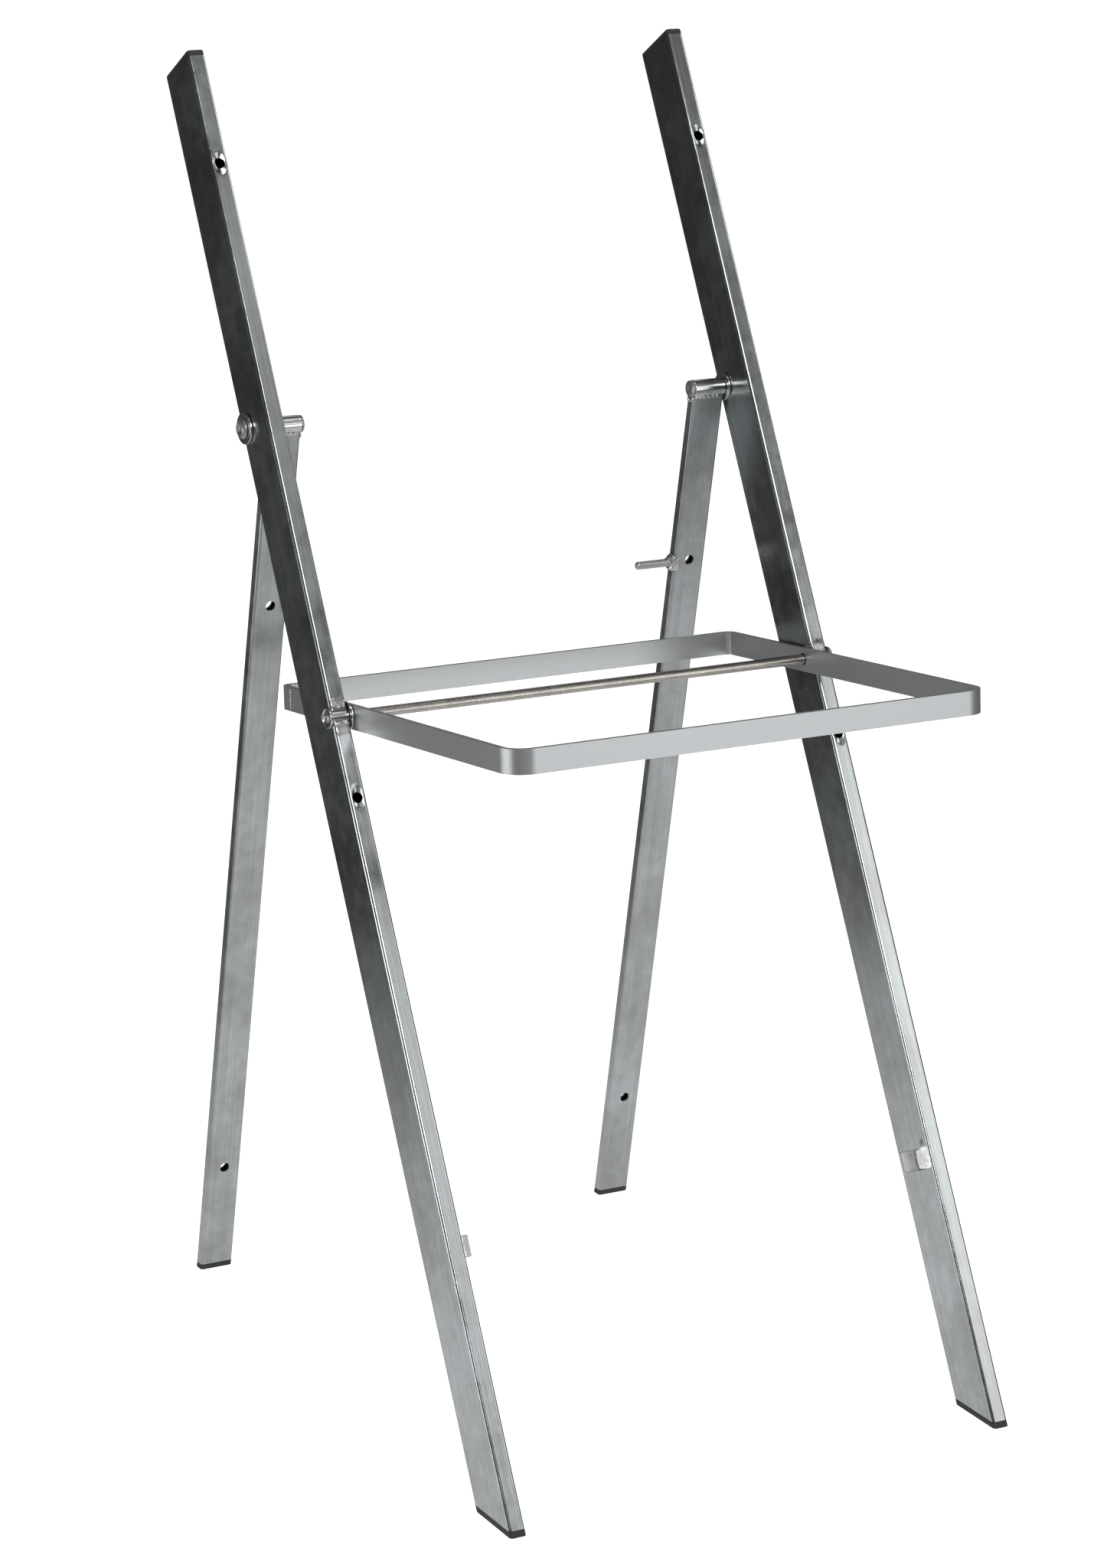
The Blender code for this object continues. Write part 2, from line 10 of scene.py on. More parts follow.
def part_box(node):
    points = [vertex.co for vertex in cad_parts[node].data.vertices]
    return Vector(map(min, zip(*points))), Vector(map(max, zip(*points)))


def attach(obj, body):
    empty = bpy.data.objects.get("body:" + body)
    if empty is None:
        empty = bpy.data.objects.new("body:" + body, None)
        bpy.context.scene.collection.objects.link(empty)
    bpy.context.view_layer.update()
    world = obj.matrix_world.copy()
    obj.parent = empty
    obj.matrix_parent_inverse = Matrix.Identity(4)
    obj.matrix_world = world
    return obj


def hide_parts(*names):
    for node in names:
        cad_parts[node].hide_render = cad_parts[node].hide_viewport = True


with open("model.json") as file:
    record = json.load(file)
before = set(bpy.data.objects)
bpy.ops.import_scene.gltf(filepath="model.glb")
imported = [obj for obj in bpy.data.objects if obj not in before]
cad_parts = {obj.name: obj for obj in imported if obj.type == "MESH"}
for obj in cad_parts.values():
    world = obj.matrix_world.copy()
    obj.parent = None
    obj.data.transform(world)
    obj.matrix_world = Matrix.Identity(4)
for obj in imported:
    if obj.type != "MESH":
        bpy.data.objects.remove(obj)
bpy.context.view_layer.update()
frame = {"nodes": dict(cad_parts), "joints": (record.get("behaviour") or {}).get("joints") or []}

bl_info = {
    "name": "Folding Chair Frame Finisher",
    "version": (1, 0, 0),
    "blender": (4, 5, 0),
    "location": "3D View > Sidebar > Chair Frame",
    "description": "Pressed holes, weld beads, zinc plating and a studio stage for a folding chair frame",
    "category": "Object",
}

SIDES = {"left": -1, "right": 1}

# How the parts of the frame lean, as the frame was drawn.
FRONT_LEAN = math.radians(29.2)
REAR_LEAN = math.radians(8.0)
RING_TILT = math.radians(6.9)
TUBE_DEPTH = 0.036
TUBE_WIDTH = 0.011
TUBE_WALL = 0.0015
TUBE_RADIUS = 0.002
REAR_TUBE_DEPTH = 0.008
REAR_TUBE_WIDTH = 0.022
REAR_TUBE_RADIUS = 0.0018
FACE_BEFORE_ROD = 0.0041          # front face of a front leg, in front of the seat rod
SLAT_HOLES_FROM_ROD = (-0.0496, 0.3418)
PIN_BELOW_PIVOT = 0.117
RIVET_SHANK = 0.003
RIVET_BORE = 0.0033
ROD_BORE = 0.0034
PIN_RADIUS = 0.0026
RING_TOP_ABOVE_ROD = 0.0068
RING_HEIGHT = 0.0145
RING_BACK_REACH = 0.0892
END_WASHER_HOLLOW = 0.35          # share of a rod end washer left under its hollow
ROD_HEAD_RADIUS = 0.0029
ROD_HEAD_DOME = 0.0010
PIN_TIP_DOME = 0.0016
TAB_BEHIND_FACE = 0.014
TAB_THICKNESS = 0.003
TAB_HEIGHT = 0.013

CAMERA_PLACE = (-1.36839, -2.28449, 1.16084)
CAMERA_DOWN = 16.711              # degrees
CAMERA_HEADING = 30.578
CAMERA_ROLL = 1.889
LIGHTS_AIM = (0.0, 0.0, 0.4)
PAINTED_FLOOR_POOL = (0.12, -0.25, 0.0)   # middle of the painted pool of light on the floor, as reflections see it

# Face layer that the weighted normals read, so that flat faces lead.
FLAT_FIRST = "__mod_weightednormals_faceweight"

# Turns a bead (X along it, Y across and Z out of the metal) onto a front face.
ON_FRONT_FACE = Matrix(((1, 0, 0, 0), (0, 0, -1, 0), (0, 1, 0, 0), (0, 0, 0, 1)))


def joint_place(name):
    """Where a joint of the frame turns, at rest."""
    for joint in frame["joints"]:
        if joint["name"] == name:
            return Vector(joint["pos_m"])
    raise KeyError(name)


def leaning(origin, angle):
    """Axes that lean with a leg or the ring: z runs up the piece and y goes towards its back."""
    return Matrix.Translation((0.0, origin.y, origin.z)) @ Matrix.Rotation(angle, 4, "X")


FRONT_AXES = leaning(joint_place("seat_fold"), -FRONT_LEAN)
RING_AXES = leaning(joint_place("seat_fold"), -RING_TILT)
REAR_AXES = leaning(joint_place("rear_left_fold"), REAR_LEAN)


# ---- sizes and colours that a user would change ----
def length(name, description, default):
    return FloatProperty(name=name, description=description, default=default, min=0.0, precision=5,
                         subtype="DISTANCE", unit="LENGTH")


def share(name, description, default):
    return FloatProperty(name=name, description=description, default=default, min=0.0, max=1.0,
                         subtype="FACTOR")


def colour(name, description, default):
    return FloatVectorProperty(name=name, description=description, default=default, size=3, min=0.0,
                               max=1.0, subtype="COLOR")


class FrameSizes(bpy.types.PropertyGroup):
    dimple_depth: length("Dimple depth", "How far the tube is pressed in round a slat hole", 0.0015)
    dimple_length: length("Dimple length", "Half length of the pressed hollow along the leg", 0.0085)
    dimple_width: length("Dimple width", "Half width of the pressed hollow across the leg", 0.0047)
    edge_ease: length("Edge ease", "Rounding of the turned parts' edges", 0.00035)
    bar_ease: length("Bar ease", "Rounding of the flat bar's long edges", 0.00045)
    bead_width: length("Bead width", "Width of a weld bead", 0.0026)
    bead_height: length("Bead height", "How far a weld bead stands off the metal", 0.0011)
    ripple_pitch: length("Ripple pitch", "Distance from one weld ripple to the next", 0.0034)
    ripple_depth: share("Ripple depth", "How strongly the weld beads are rippled", 0.09)
    turn_steps: IntProperty(name="Turning steps", description="Facets round a turned part", default=56,
                            min=12, max=128)


class FrameColours(bpy.types.PropertyGroup):
    zinc_light: colour("Light zinc", "Plating where it has bloomed pale", (0.53, 0.565, 0.575))
    zinc_dark: colour("Dark zinc", "Plating where it is clear and dark", (0.40, 0.41, 0.41))
    ring_light: colour("Light ring zinc", "Pale plating on the seat ring", (0.69, 0.72, 0.74))
    ring_dark: colour("Dark ring zinc", "Dark plating on the seat ring", (0.55, 0.58, 0.60))
    bright_zinc: colour("Bright zinc", "Plating on the barrels and washers", (0.66, 0.67, 0.665))
    weld_metal: colour("Weld metal", "Plated weld beads", (0.62, 0.62, 0.60))
    heat_stain: colour("Heat stain", "Metal browned beside a weld", (0.17, 0.155, 0.14))
    rod_steel: colour("Rod steel", "Drawn steel of the seat rod", (0.46, 0.43, 0.40))
    rivet_steel: colour("Rivet steel", "Rivets and their rings", (0.50, 0.51, 0.51))
    plastic: colour("Black plastic", "Moulded end caps", (0.018, 0.018, 0.019))
    plastic_rubbed: colour("Rubbed plastic", "End caps where they are scuffed", (0.075, 0.074, 0.072))
    floor: colour("Floor", "Studio floor", (0.90, 0.90, 0.90))


class StageSizes(bpy.types.PropertyGroup):
    floor_size: length("Floor size", "Side of the square studio floor", 40.0)
    lens: FloatProperty(name="Lens", description="Focal length of the camera in millimetres",
                        default=105.5, min=10.0)
    soft_light: FloatProperty(name="Soft light", description="Strength of all the studio lights",
                              default=1.0, min=0.0)


# ---- meshes ----
def joined_part(node):
    """A frame part's shape, with its loose triangles joined into one skin."""
    shape = bmesh.new()
    shape.from_mesh(frame["nodes"][node].data)
    bmesh.ops.remove_doubles(shape, verts=shape.verts, dist=0.000003)
    return shape


def flat_faces_whole(shape):
    """Joins triangles that lie in one plane."""
    bmesh.ops.dissolve_limit(shape, angle_limit=math.radians(0.4), use_dissolve_boundaries=False,
                             verts=shape.verts, edges=shape.edges, delimit=set())


def ease_edges(shape, width, segments, edges):
    bmesh.ops.bevel(shape, geom=edges, offset=width, segments=segments, profile=0.5, affect="EDGES",
                    material=-1, clamp_overlap=True, loop_slide=True)


def sharp_edges(shape, angle):
    return [edge for edge in shape.edges
            if len(edge.link_faces) == 2 and edge.calc_face_angle() > math.radians(angle)]


def set_down(name, shape, body, finish, stands_for=()):
    """Makes a shape a piece of the chair, on its body and with its finish."""
    mesh = bpy.data.meshes.new(name)
    shape.to_mesh(mesh)
    shape.free()
    for layer in ("custom_normal", "sharp_edge", "sharp_face"):
        if layer in mesh.attributes:
            mesh.attributes.remove(mesh.attributes[layer])
    mesh.shade_smooth()
    mesh.set_sharp_from_angle(angle=math.radians(34))
    mesh.materials.clear()
    mesh.materials.append(finish)
    piece = bpy.data.objects.new(name, mesh)
    bpy.context.scene.collection.objects.link(piece)
    even = piece.modifiers.new("even_shading", "WEIGHTED_NORMAL")
    even.mode = "FACE_AREA_WITH_ANGLE"
    even.keep_sharp = True
    even.use_face_influence = FLAT_FIRST in mesh.attributes
    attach(piece, body)
    if stands_for:
        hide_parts(*stands_for)
    return piece


def turned(profile, side, rounding, steps, closed=False):
    """Spins a profile of (radius, distance outboard) about the X axis, with its corners rounded."""
    shape = bmesh.new()
    verts = [shape.verts.new((side * out, 0.0, radius)) for radius, out in profile]
    edges = [shape.edges.new(pair) for pair in zip(verts, verts[1:])]
    if closed:
        edges.append(shape.edges.new((verts[-1], verts[0])))
    corners = [vert for vert in verts if vert.co.z > 0.0 and len(vert.link_edges) == 2]
    bmesh.ops.bevel(shape, geom=corners, offset=rounding, segments=3, profile=0.5, affect="VERTICES",
                    material=-1, clamp_overlap=True)
    bmesh.ops.spin(shape, geom=shape.verts[:] + shape.edges[:], cent=(0.0, 0.0, 0.0),
                   axis=(1.0, 0.0, 0.0), dvec=(0.0, 0.0, 0.0), angle=math.tau, steps=steps,
                   use_merge=True, use_duplicate=False)
    bmesh.ops.remove_doubles(shape, verts=shape.verts, dist=0.000002)
    bmesh.ops.recalc_face_normals(shape, faces=shape.faces)
    return shape


def ring_section(outer, bore, thick):
    """Section of a washer or a barrel that starts at x = 0 and goes outboard."""
    return [(bore, 0.0), (outer, 0.0), (outer, thick), (bore, thick)]


def dome_section(radius, base, height, steps=7):
    """Quarter of an ellipse, from its crown on the axis to its rim."""
    points = []
    for step in range(steps + 1):
        angle = step / steps * math.pi / 2
        points.append((radius * math.sin(angle), base + height * math.cos(angle)))
    return points


def moved_to(shape, place):
    bmesh.ops.transform(shape, matrix=place, verts=shape.verts)
    if place.determinant() < 0.0:
        bmesh.ops.reverse_faces(shape, faces=shape.faces)
    return shape


def round_part_sizes(node):
    """Radius, inboard x, thickness and axis of a turned part of the frame, from its box."""
    low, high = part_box(node)
    inboard = min(abs(low.x), abs(high.x))
    centre = (low + high) / 2
    return (high.z - low.z) / 2, inboard, high.x - low.x, centre


def weld_bead(size, ripples, depth, seed):
    """A rippled bead along X, lying half in the metal, with rounded ends."""
    shape = bmesh.new()
    turn = Matrix.Rotation(math.pi / 2, 4, "Y")
    bmesh.ops.create_uvsphere(shape, u_segments=28, v_segments=max(26, 9 * ripples), radius=1.0,
                              matrix=turn)
    for vert in shape.verts:
        along = max(-1.0, min(1.0, vert.co.x))
        end = math.sqrt(max(0.0, 1.0 - along * along))
        fuller = (1.0 - along ** 6) ** 0.5 / end if end > 0.02 else 1.0
        wave = 1.0 + depth * math.cos(math.pi * along * ripples + 1.3 * vert.co.y + 2.0 * along * along)
        lump = 1.0 + 0.26 * noise.noise(Vector((2.9 * along, vert.co.y, 0.7 * vert.co.z)) + Vector(seed))
        vert.co.y *= fuller * wave * lump
        vert.co.z *= fuller * wave * lump
    bmesh.ops.scale(shape, vec=(size[0] / 2, size[1] / 2, size[2]), verts=shape.verts)
    return shape


def join_shapes(shapes):
    """Puts several closed shapes in one mesh."""
    whole = bmesh.new()
    for shape in shapes:
        mesh = bpy.data.meshes.new("part")
        shape.to_mesh(mesh)
        shape.free()
        whole.from_mesh(mesh)
        bpy.data.meshes.remove(mesh)
    return whole


def press_hole(shape, axes, along, sizes):
    """Presses the front wall of a leg in round a slat hole, after cutting it into a fine grid."""
    back = axes.inverted()
    reach = sizes.dimple_length + 0.001

    def near(face):
        centre = back @ face.calc_center_median()
        return centre.y < TUBE_WALL - FACE_BEFORE_ROD + 0.0006

    def cut(point, normal):
        faces = [face for face in shape.faces if near(face)]
        edges = {edge for face in faces for edge in face.edges}
        verts = {vert for face in faces for vert in face.verts}
        bmesh.ops.bisect_plane(shape, geom=list(verts) + list(edges) + faces, dist=0.000001,
                               plane_co=axes @ Vector(point), plane_no=axes.to_3x3() @ Vector(normal))

    steps = 22
    for step in range(steps + 1):
        cut((0.0, 0.0, along - reach + 2 * reach * step / steps), (0.0, 0.0, 1.0))
    centre_x = sum(vert.co.x for vert in shape.verts) / len(shape.verts)
    for step in range(-4, 5):
        cut((centre_x + step * 0.0008, 0.0, 0.0), (1.0, 0.0, 0.0))
    for vert in shape.verts:
        place = back @ vert.co
        if place.y > TUBE_WALL - FACE_BEFORE_ROD + 0.0001:
            continue
        across = (place.x - centre_x) / sizes.dimple_width
        down = (place.z - along) / sizes.dimple_length
        out = across * across + down * down
        if out < 1.0:
            place.y += sizes.dimple_depth * (1.0 - out) ** 2
            vert.co = axes @ place


def flats_lead_shading(shape, axes, centre, flat_width, flat_depth):
    """Marks a tube's flat sides, so that its rounded corners don't bend their shading."""
    lead = shape.faces.layers.int.new(FLAT_FIRST)
    back = axes.inverted()
    middle = back @ centre
    for face in shape.faces:
        place = (back @ face.calc_center_median()) - middle
        flat = abs(place.x) < flat_width / 2 or abs(place.y) < flat_depth / 2
        face[lead] = 16384 if flat else -16384


# ---- node groups: effects that several finishes use ----
def add_node(tree, kind, column, row, **settings):
    made = tree.nodes.new(kind)
    made.location = (column * 190, -row * 170)
    for name, value in settings.items():
        setattr(made, name, value)
    return made


def new_group(name, inputs, outputs):
    group = bpy.data.node_groups.new(name, "ShaderNodeTree")
    for label, kind, default in inputs:
        socket = group.interface.new_socket(name=label, in_out="INPUT", socket_type=kind)
        if default is not None:
            socket.default_value = default
    for label, kind in outputs:
        group.interface.new_socket(name=label, in_out="OUTPUT", socket_type=kind)
    return group, add_node(group, "NodeGroupInput", 0, 0), add_node(group, "NodeGroupOutput", 7, 0)


def map_range(tree, column, row, source, low, high, to_low, to_high, smooth=False):
    made = add_node(tree, "ShaderNodeMapRange", column, row)
    made.interpolation_type = "SMOOTHSTEP" if smooth else "LINEAR"
    tree.links.new(source, made.inputs["Value"])
    made.inputs["From Min"].default_value = low
    made.inputs["From Max"].default_value = high
    made.inputs["To Min"].default_value = to_low
    made.inputs["To Max"].default_value = to_high
    return made.outputs["Result"]


def noise_texture(tree, column, row, vector, scale, detail, roughness=0.5, distortion=0.0):
    """Noise on a vector. The scale is a socket or a plain number."""
    made = add_node(tree, "ShaderNodeTexNoise", column, row)
    tree.links.new(vector, made.inputs["Vector"])
    if isinstance(scale, float):
        made.inputs["Scale"].default_value = scale
    else:
        tree.links.new(scale, made.inputs["Scale"])
    made.inputs["Detail"].default_value = detail
    made.inputs["Roughness"].default_value = roughness
    made.inputs["Distortion"].default_value = distortion
    return made.outputs["Fac"]


def bloom_group():
    """Soft cloudy patches in the plating, large ones with smaller ones in them."""
    group, given, result = new_group(
        "plating_bloom",
        [("Vector", "NodeSocketVector", None), ("Scale", "NodeSocketFloat", 16.0)],
        [("Bloom", "NodeSocketFloat")])
    links = group.links
    large = noise_texture(group, 2, 0, given.outputs["Vector"], given.outputs["Scale"], 3.0, 0.55)
    finer = calculate(group, 1, 1, "MULTIPLY", given.outputs["Scale"], 7.3)
    small = noise_texture(group, 2, 1, given.outputs["Vector"], finer, 4.0, distortion=0.4)
    both = add_node(group, "ShaderNodeMix", 4, 0, data_type="FLOAT")
    both.inputs["Factor"].default_value = 0.35
    links.new(large, both.inputs["A"])
    links.new(small, both.inputs["B"])
    spread = map_range(group, 5, 0, both.outputs["Result"], 0.34, 0.66, 0.0, 1.0, smooth=True)
    links.new(spread, result.inputs["Bloom"])
    return group


def streak_group():
    """Fine lines left by drawing or rolling; Stretch is small along the lines and 1 across them."""
    group, given, result = new_group(
        "drawn_streaks",
        [("Vector", "NodeSocketVector", None), ("Stretch", "NodeSocketVector", (1.0, 1.0, 0.02)),
         ("Scale", "NodeSocketFloat", 700.0)],
        [("Streak", "NodeSocketFloat")])
    links = group.links
    stretch = add_node(group, "ShaderNodeVectorMath", 1, 0, operation="MULTIPLY")
    links.new(given.outputs["Vector"], stretch.inputs[0])
    links.new(given.outputs["Stretch"], stretch.inputs[1])
    lines = noise_texture(group, 3, 0, stretch.outputs["Vector"], given.outputs["Scale"], 3.0, 0.7)
    spread = map_range(group, 5, 0, lines, 0.36, 0.64, 0.0, 1.0)
    links.new(spread, result.inputs["Streak"])
    return group


def scuff_group():
    """Sparse rubbed spots and short scratches; Amount is how much of the surface they cover."""
    group, given, result = new_group(
        "handling_scuffs",
        [("Vector", "NodeSocketVector", None), ("Scale", "NodeSocketFloat", 60.0),
         ("Amount", "NodeSocketFloat", 0.2)],
        [("Scuff", "NodeSocketFloat")])
    spots = noise_texture(group, 2, 0, given.outputs["Vector"], given.outputs["Scale"], 6.0, 0.72, 1.1)
    level = map_range(group, 3, 1, given.outputs["Amount"], 0.0, 1.0, 0.78, 0.40)
    over = calculate(group, 4, 0, "SUBTRACT", spots, level)
    spread = map_range(group, 5, 0, over, 0.0, 0.07, 0.0, 1.0, smooth=True)
    group.links.new(spread, result.inputs["Scuff"])
    return group


def stain_group():
    """A mark round a point and its mirror on the other side, ragged at its edge."""
    group, given, result = new_group(
        "weld_stain",
        [("Vector", "NodeSocketVector", None), ("Centre", "NodeSocketVector", None),
         ("Reach", "NodeSocketFloat", 0.01)],
        [("Stain", "NodeSocketFloat")])
    links = group.links
    fold = add_node(group, "ShaderNodeVectorMath", 1, 0, operation="ABSOLUTE")
    links.new(given.outputs["Vector"], fold.inputs[0])
    sides = add_node(group, "ShaderNodeSeparateXYZ", 2, 0)
    links.new(fold.outputs["Vector"], sides.inputs[0])
    plain = add_node(group, "ShaderNodeSeparateXYZ", 2, 1)
    links.new(given.outputs["Vector"], plain.inputs[0])
    mirrored = add_node(group, "ShaderNodeCombineXYZ", 3, 0)
    links.new(sides.outputs["X"], mirrored.inputs["X"])
    links.new(plain.outputs["Y"], mirrored.inputs["Y"])
    links.new(plain.outputs["Z"], mirrored.inputs["Z"])
    far = add_node(group, "ShaderNodeVectorMath", 4, 0, operation="DISTANCE")
    links.new(mirrored.outputs["Vector"], far.inputs[0])
    links.new(given.outputs["Centre"], far.inputs[1])
    ragged = noise_texture(group, 2, 2, given.outputs["Vector"], 380.0, 3.0)
    wobble = map_range(group, 4, 2, ragged, 0.3, 0.7, 0.7, 1.3)
    ragged_far = calculate(group, 5, 1, "MULTIPLY", far.outputs["Value"], wobble)
    spread = add_node(group, "ShaderNodeMapRange", 6, 0, interpolation_type="SMOOTHSTEP")
    links.new(ragged_far, spread.inputs["Value"])
    links.new(given.outputs["Reach"], spread.inputs["From Max"])
    spread.inputs["To Min"].default_value = 1.0
    spread.inputs["To Max"].default_value = 0.0
    links.new(spread.outputs["Result"], result.inputs["Stain"])
    return group


def group_named(name):
    builders = {"plating_bloom": bloom_group, "drawn_streaks": streak_group,
                "handling_scuffs": scuff_group, "weld_stain": stain_group}
    return bpy.data.node_groups.get(name) or builders[name]()


# ---- finishes ----
def place_group(tree, name, column, row, vector, values):
    made = add_node(tree, "ShaderNodeGroup", column, row, node_tree=group_named(name))
    tree.links.new(vector, made.inputs["Vector"])
    for label, value in values.items():
        made.inputs[label].default_value = value
    return made.outputs[0]


def mix_colours(tree, column, row, factor, first, second, blend="MIX"):
    """first and second are sockets, or plain colours."""
    made = add_node(tree, "ShaderNodeMix", column, row, data_type="RGBA", blend_type=blend)
    if isinstance(factor, float):
        made.inputs[0].default_value = factor
    else:
        tree.links.new(factor, made.inputs[0])
    for value, socket in ((first, made.inputs[6]), (second, made.inputs[7])):
        if isinstance(value, bpy.types.NodeSocket):
            tree.links.new(value, socket)
        else:
            socket.default_value = (*value, 1.0)
    return made.outputs[2]


def calculate(tree, column, row, operation, first, second):
    made = add_node(tree, "ShaderNodeMath", column, row, operation=operation)
    for value, socket in ((first, made.inputs[0]), (second, made.inputs[1])):
        if isinstance(value, float):
            socket.default_value = value
        else:
            tree.links.new(value, socket)
    return made.outputs[0]


def ray_choice(tree, ray, otherwise, chosen, output_kind):
    """Shows one shader to a kind of ray and another to all the rest."""
    path = add_node(tree, "ShaderNodeLightPath", 4, 3)
    choice = add_node(tree, "ShaderNodeMixShader", 5, 0)
    tree.links.new(path.outputs[ray], choice.inputs[0])
    tree.links.new(otherwise.outputs[0], choice.inputs[1])
    tree.links.new(chosen.outputs[0], choice.inputs[2])
    output = add_node(tree, output_kind, 6, 0)
    tree.links.new(choice.outputs[0], output.inputs["Surface"])


def start_finish(name, metallic, lean=0.0):
    """A material with its shader and the piece's own axes."""
    finish = bpy.data.materials.new(name)
    finish.use_nodes = True
    tree = finish.node_tree
    shader = tree.nodes["Principled BSDF"]
    shader.location = (9 * 190, 0)
    tree.nodes["Material Output"].location = (11 * 190, 0)
    shader.inputs["Metallic"].default_value = metallic
    place = add_node(tree, "ShaderNodeTexCoord", 0, 0)
    turned_axes = add_node(tree, "ShaderNodeMapping", 1, 0)
    turned_axes.inputs["Rotation"].default_value = (lean, 0.0, 0.0)
    tree.links.new(place.outputs["Object"], turned_axes.inputs["Vector"])
    return finish, tree, shader, turned_axes.outputs["Vector"], place.outputs["Object"]


def add_bump(tree, shader, height, distance, strength):
    bump = add_node(tree, "ShaderNodeBump", 8, 3)
    bump.inputs["Distance"].default_value = distance
    bump.inputs["Strength"].default_value = strength
    tree.links.new(height, bump.inputs["Height"])
    tree.links.new(bump.outputs["Normal"], shader.inputs["Normal"])


def plated_finish(name, light, dark, lean, stretch, bloom_scale, roughness, stains=(), metallic=1.0,
                  relief_share=0.5):
    """Zinc-plated steel: cloudy plating, drawn lines, scuffs, and browned spots beside welds."""
    finish, tree, shader, axes, world_place = start_finish(name, metallic, lean)
    bloom = place_group(tree, "plating_bloom", 3, 0, axes, {"Scale": bloom_scale})
    streak = place_group(tree, "drawn_streaks", 3, 1, axes, {"Stretch": stretch, "Scale": 900.0})
    bands = place_group(tree, "drawn_streaks", 3, 2, axes, {"Stretch": stretch, "Scale": 210.0})
    scuff = place_group(tree, "handling_scuffs", 3, 3, axes, {"Scale": 75.0, "Amount": 0.34})
    tone = mix_colours(tree, 5, 0, bloom, dark, light)
    lines = mix_colours(tree, 5, 1, streak, (0.86, 0.86, 0.86), (1.0, 1.0, 1.0))
    tone = mix_colours(tree, 6, 0, 1.0, tone, lines, "MULTIPLY")
    banded = mix_colours(tree, 5, 2, bands, (0.90, 0.90, 0.905), (1.0, 1.0, 1.0))
    tone = mix_colours(tree, 6, 1, 1.0, tone, banded, "MULTIPLY")
    scuff_share = calculate(tree, 6, 3, "MULTIPLY", scuff, 0.30)
    tone = mix_colours(tree, 7, 0, scuff_share, tone, tuple(0.62 * channel for channel in dark))
    tint = bpy.context.scene.chair_colours.heat_stain
    for number, (centre, reach, strength) in enumerate(stains):
        stain = place_group(tree, "weld_stain", 3, 5 + number, world_place,
                            {"Centre": centre, "Reach": reach})
        stain = calculate(tree, 6, 5 + number, "MULTIPLY", stain, strength)
        tone = mix_colours(tree, 8, 5 + number, stain, tone, tuple(tint))
    tree.links.new(tone, shader.inputs["Base Color"])
    low, high = roughness
    satin = map_range(tree, 7, 2, bloom, 0.0, 1.0, low, high)
    rubbed = calculate(tree, 7, 4, "MULTIPLY", scuff, 0.10)
    rough = calculate(tree, 8, 2, "ADD", satin, rubbed)
    tree.links.new(rough, shader.inputs["Roughness"])
    relief = calculate(tree, 7, 5, "MULTIPLY", bloom, 1.6)
    relief = calculate(tree, 8, 4, "ADD", relief, streak)
    add_bump(tree, shader, relief, 0.00002, relief_share)
    return finish


def turned_metal(name, metal, roughness, spot_scale, wear):
    """Bright metal of a small turned or drawn part, with tool marks round its axis along X."""
    finish, tree, shader, axes, _ = start_finish(name, 1.0)
    bloom = place_group(tree, "plating_bloom", 3, 0, axes, {"Scale": spot_scale})
    marks = place_group(tree, "drawn_streaks", 3, 1, axes, {"Stretch": (1.0, 0.05, 0.05), "Scale": 1400.0})
    scuff = place_group(tree, "handling_scuffs", 3, 2, axes, {"Scale": 220.0, "Amount": wear})
    tone = mix_colours(tree, 5, 0, bloom, tuple(0.78 * channel for channel in metal), tuple(metal))
    dulled = calculate(tree, 5, 2, "MULTIPLY", scuff, 0.45)
    tone = mix_colours(tree, 6, 0, dulled, tone, tuple(0.42 * channel for channel in metal))
    tree.links.new(tone, shader.inputs["Base Color"])
    low, high = roughness
    satin = map_range(tree, 6, 2, marks, 0.0, 1.0, low, high)
    rough = calculate(tree, 7, 2, "ADD", satin, calculate(tree, 6, 3, "MULTIPLY", scuff, 0.15))
    tree.links.new(rough, shader.inputs["Roughness"])
    add_bump(tree, shader, marks, 0.00002, 0.35)
    return finish


def weld_finish(name, metal, browned, metallic=1.0):
    """Plated weld metal, uneven in its shine, with browned hollows."""
    finish, tree, shader, axes, _ = start_finish(name, metallic)
    spots = place_group(tree, "handling_scuffs", 3, 0, axes, {"Scale": 260.0, "Amount": browned})
    bloom = place_group(tree, "plating_bloom", 3, 1, axes, {"Scale": 90.0})
    tone = mix_colours(tree, 5, 0, bloom, tuple(0.7 * channel for channel in metal), tuple(metal))
    brown = bpy.context.scene.chair_colours.heat_stain
    tone = mix_colours(tree, 6, 0, calculate(tree, 5, 2, "MULTIPLY", spots, 0.7), tone, tuple(brown))
    tree.links.new(tone, shader.inputs["Base Color"])
    rough = map_range(tree, 6, 2, bloom, 0.0, 1.0, 0.22, 0.40)
    tree.links.new(rough, shader.inputs["Roughness"])
    add_bump(tree, shader, bloom, 0.00008, 0.25)
    return finish


def plastic_finish(name, base, rubbed):
    """Moulded black plastic with a fine grain, rubbed grey in places."""
    finish, tree, shader, axes, _ = start_finish(name, 0.0)
    grain = noise_texture(tree, 3, 0, axes, 1600.0, 3.0)
    scuff = place_group(tree, "handling_scuffs", 3, 1, axes, {"Scale": 260.0, "Amount": 0.5})
    tone = mix_colours(tree, 6, 0, calculate(tree, 5, 1, "MULTIPLY", scuff, 0.8), tuple(base), tuple(rubbed))
    tree.links.new(tone, shader.inputs["Base Color"])
    rough = map_range(tree, 6, 2, grain, 0.3, 0.7, 0.36, 0.52)
    tree.links.new(rough, shader.inputs["Roughness"])
    add_bump(tree, shader, grain, 0.00004, 0.5)
    return finish


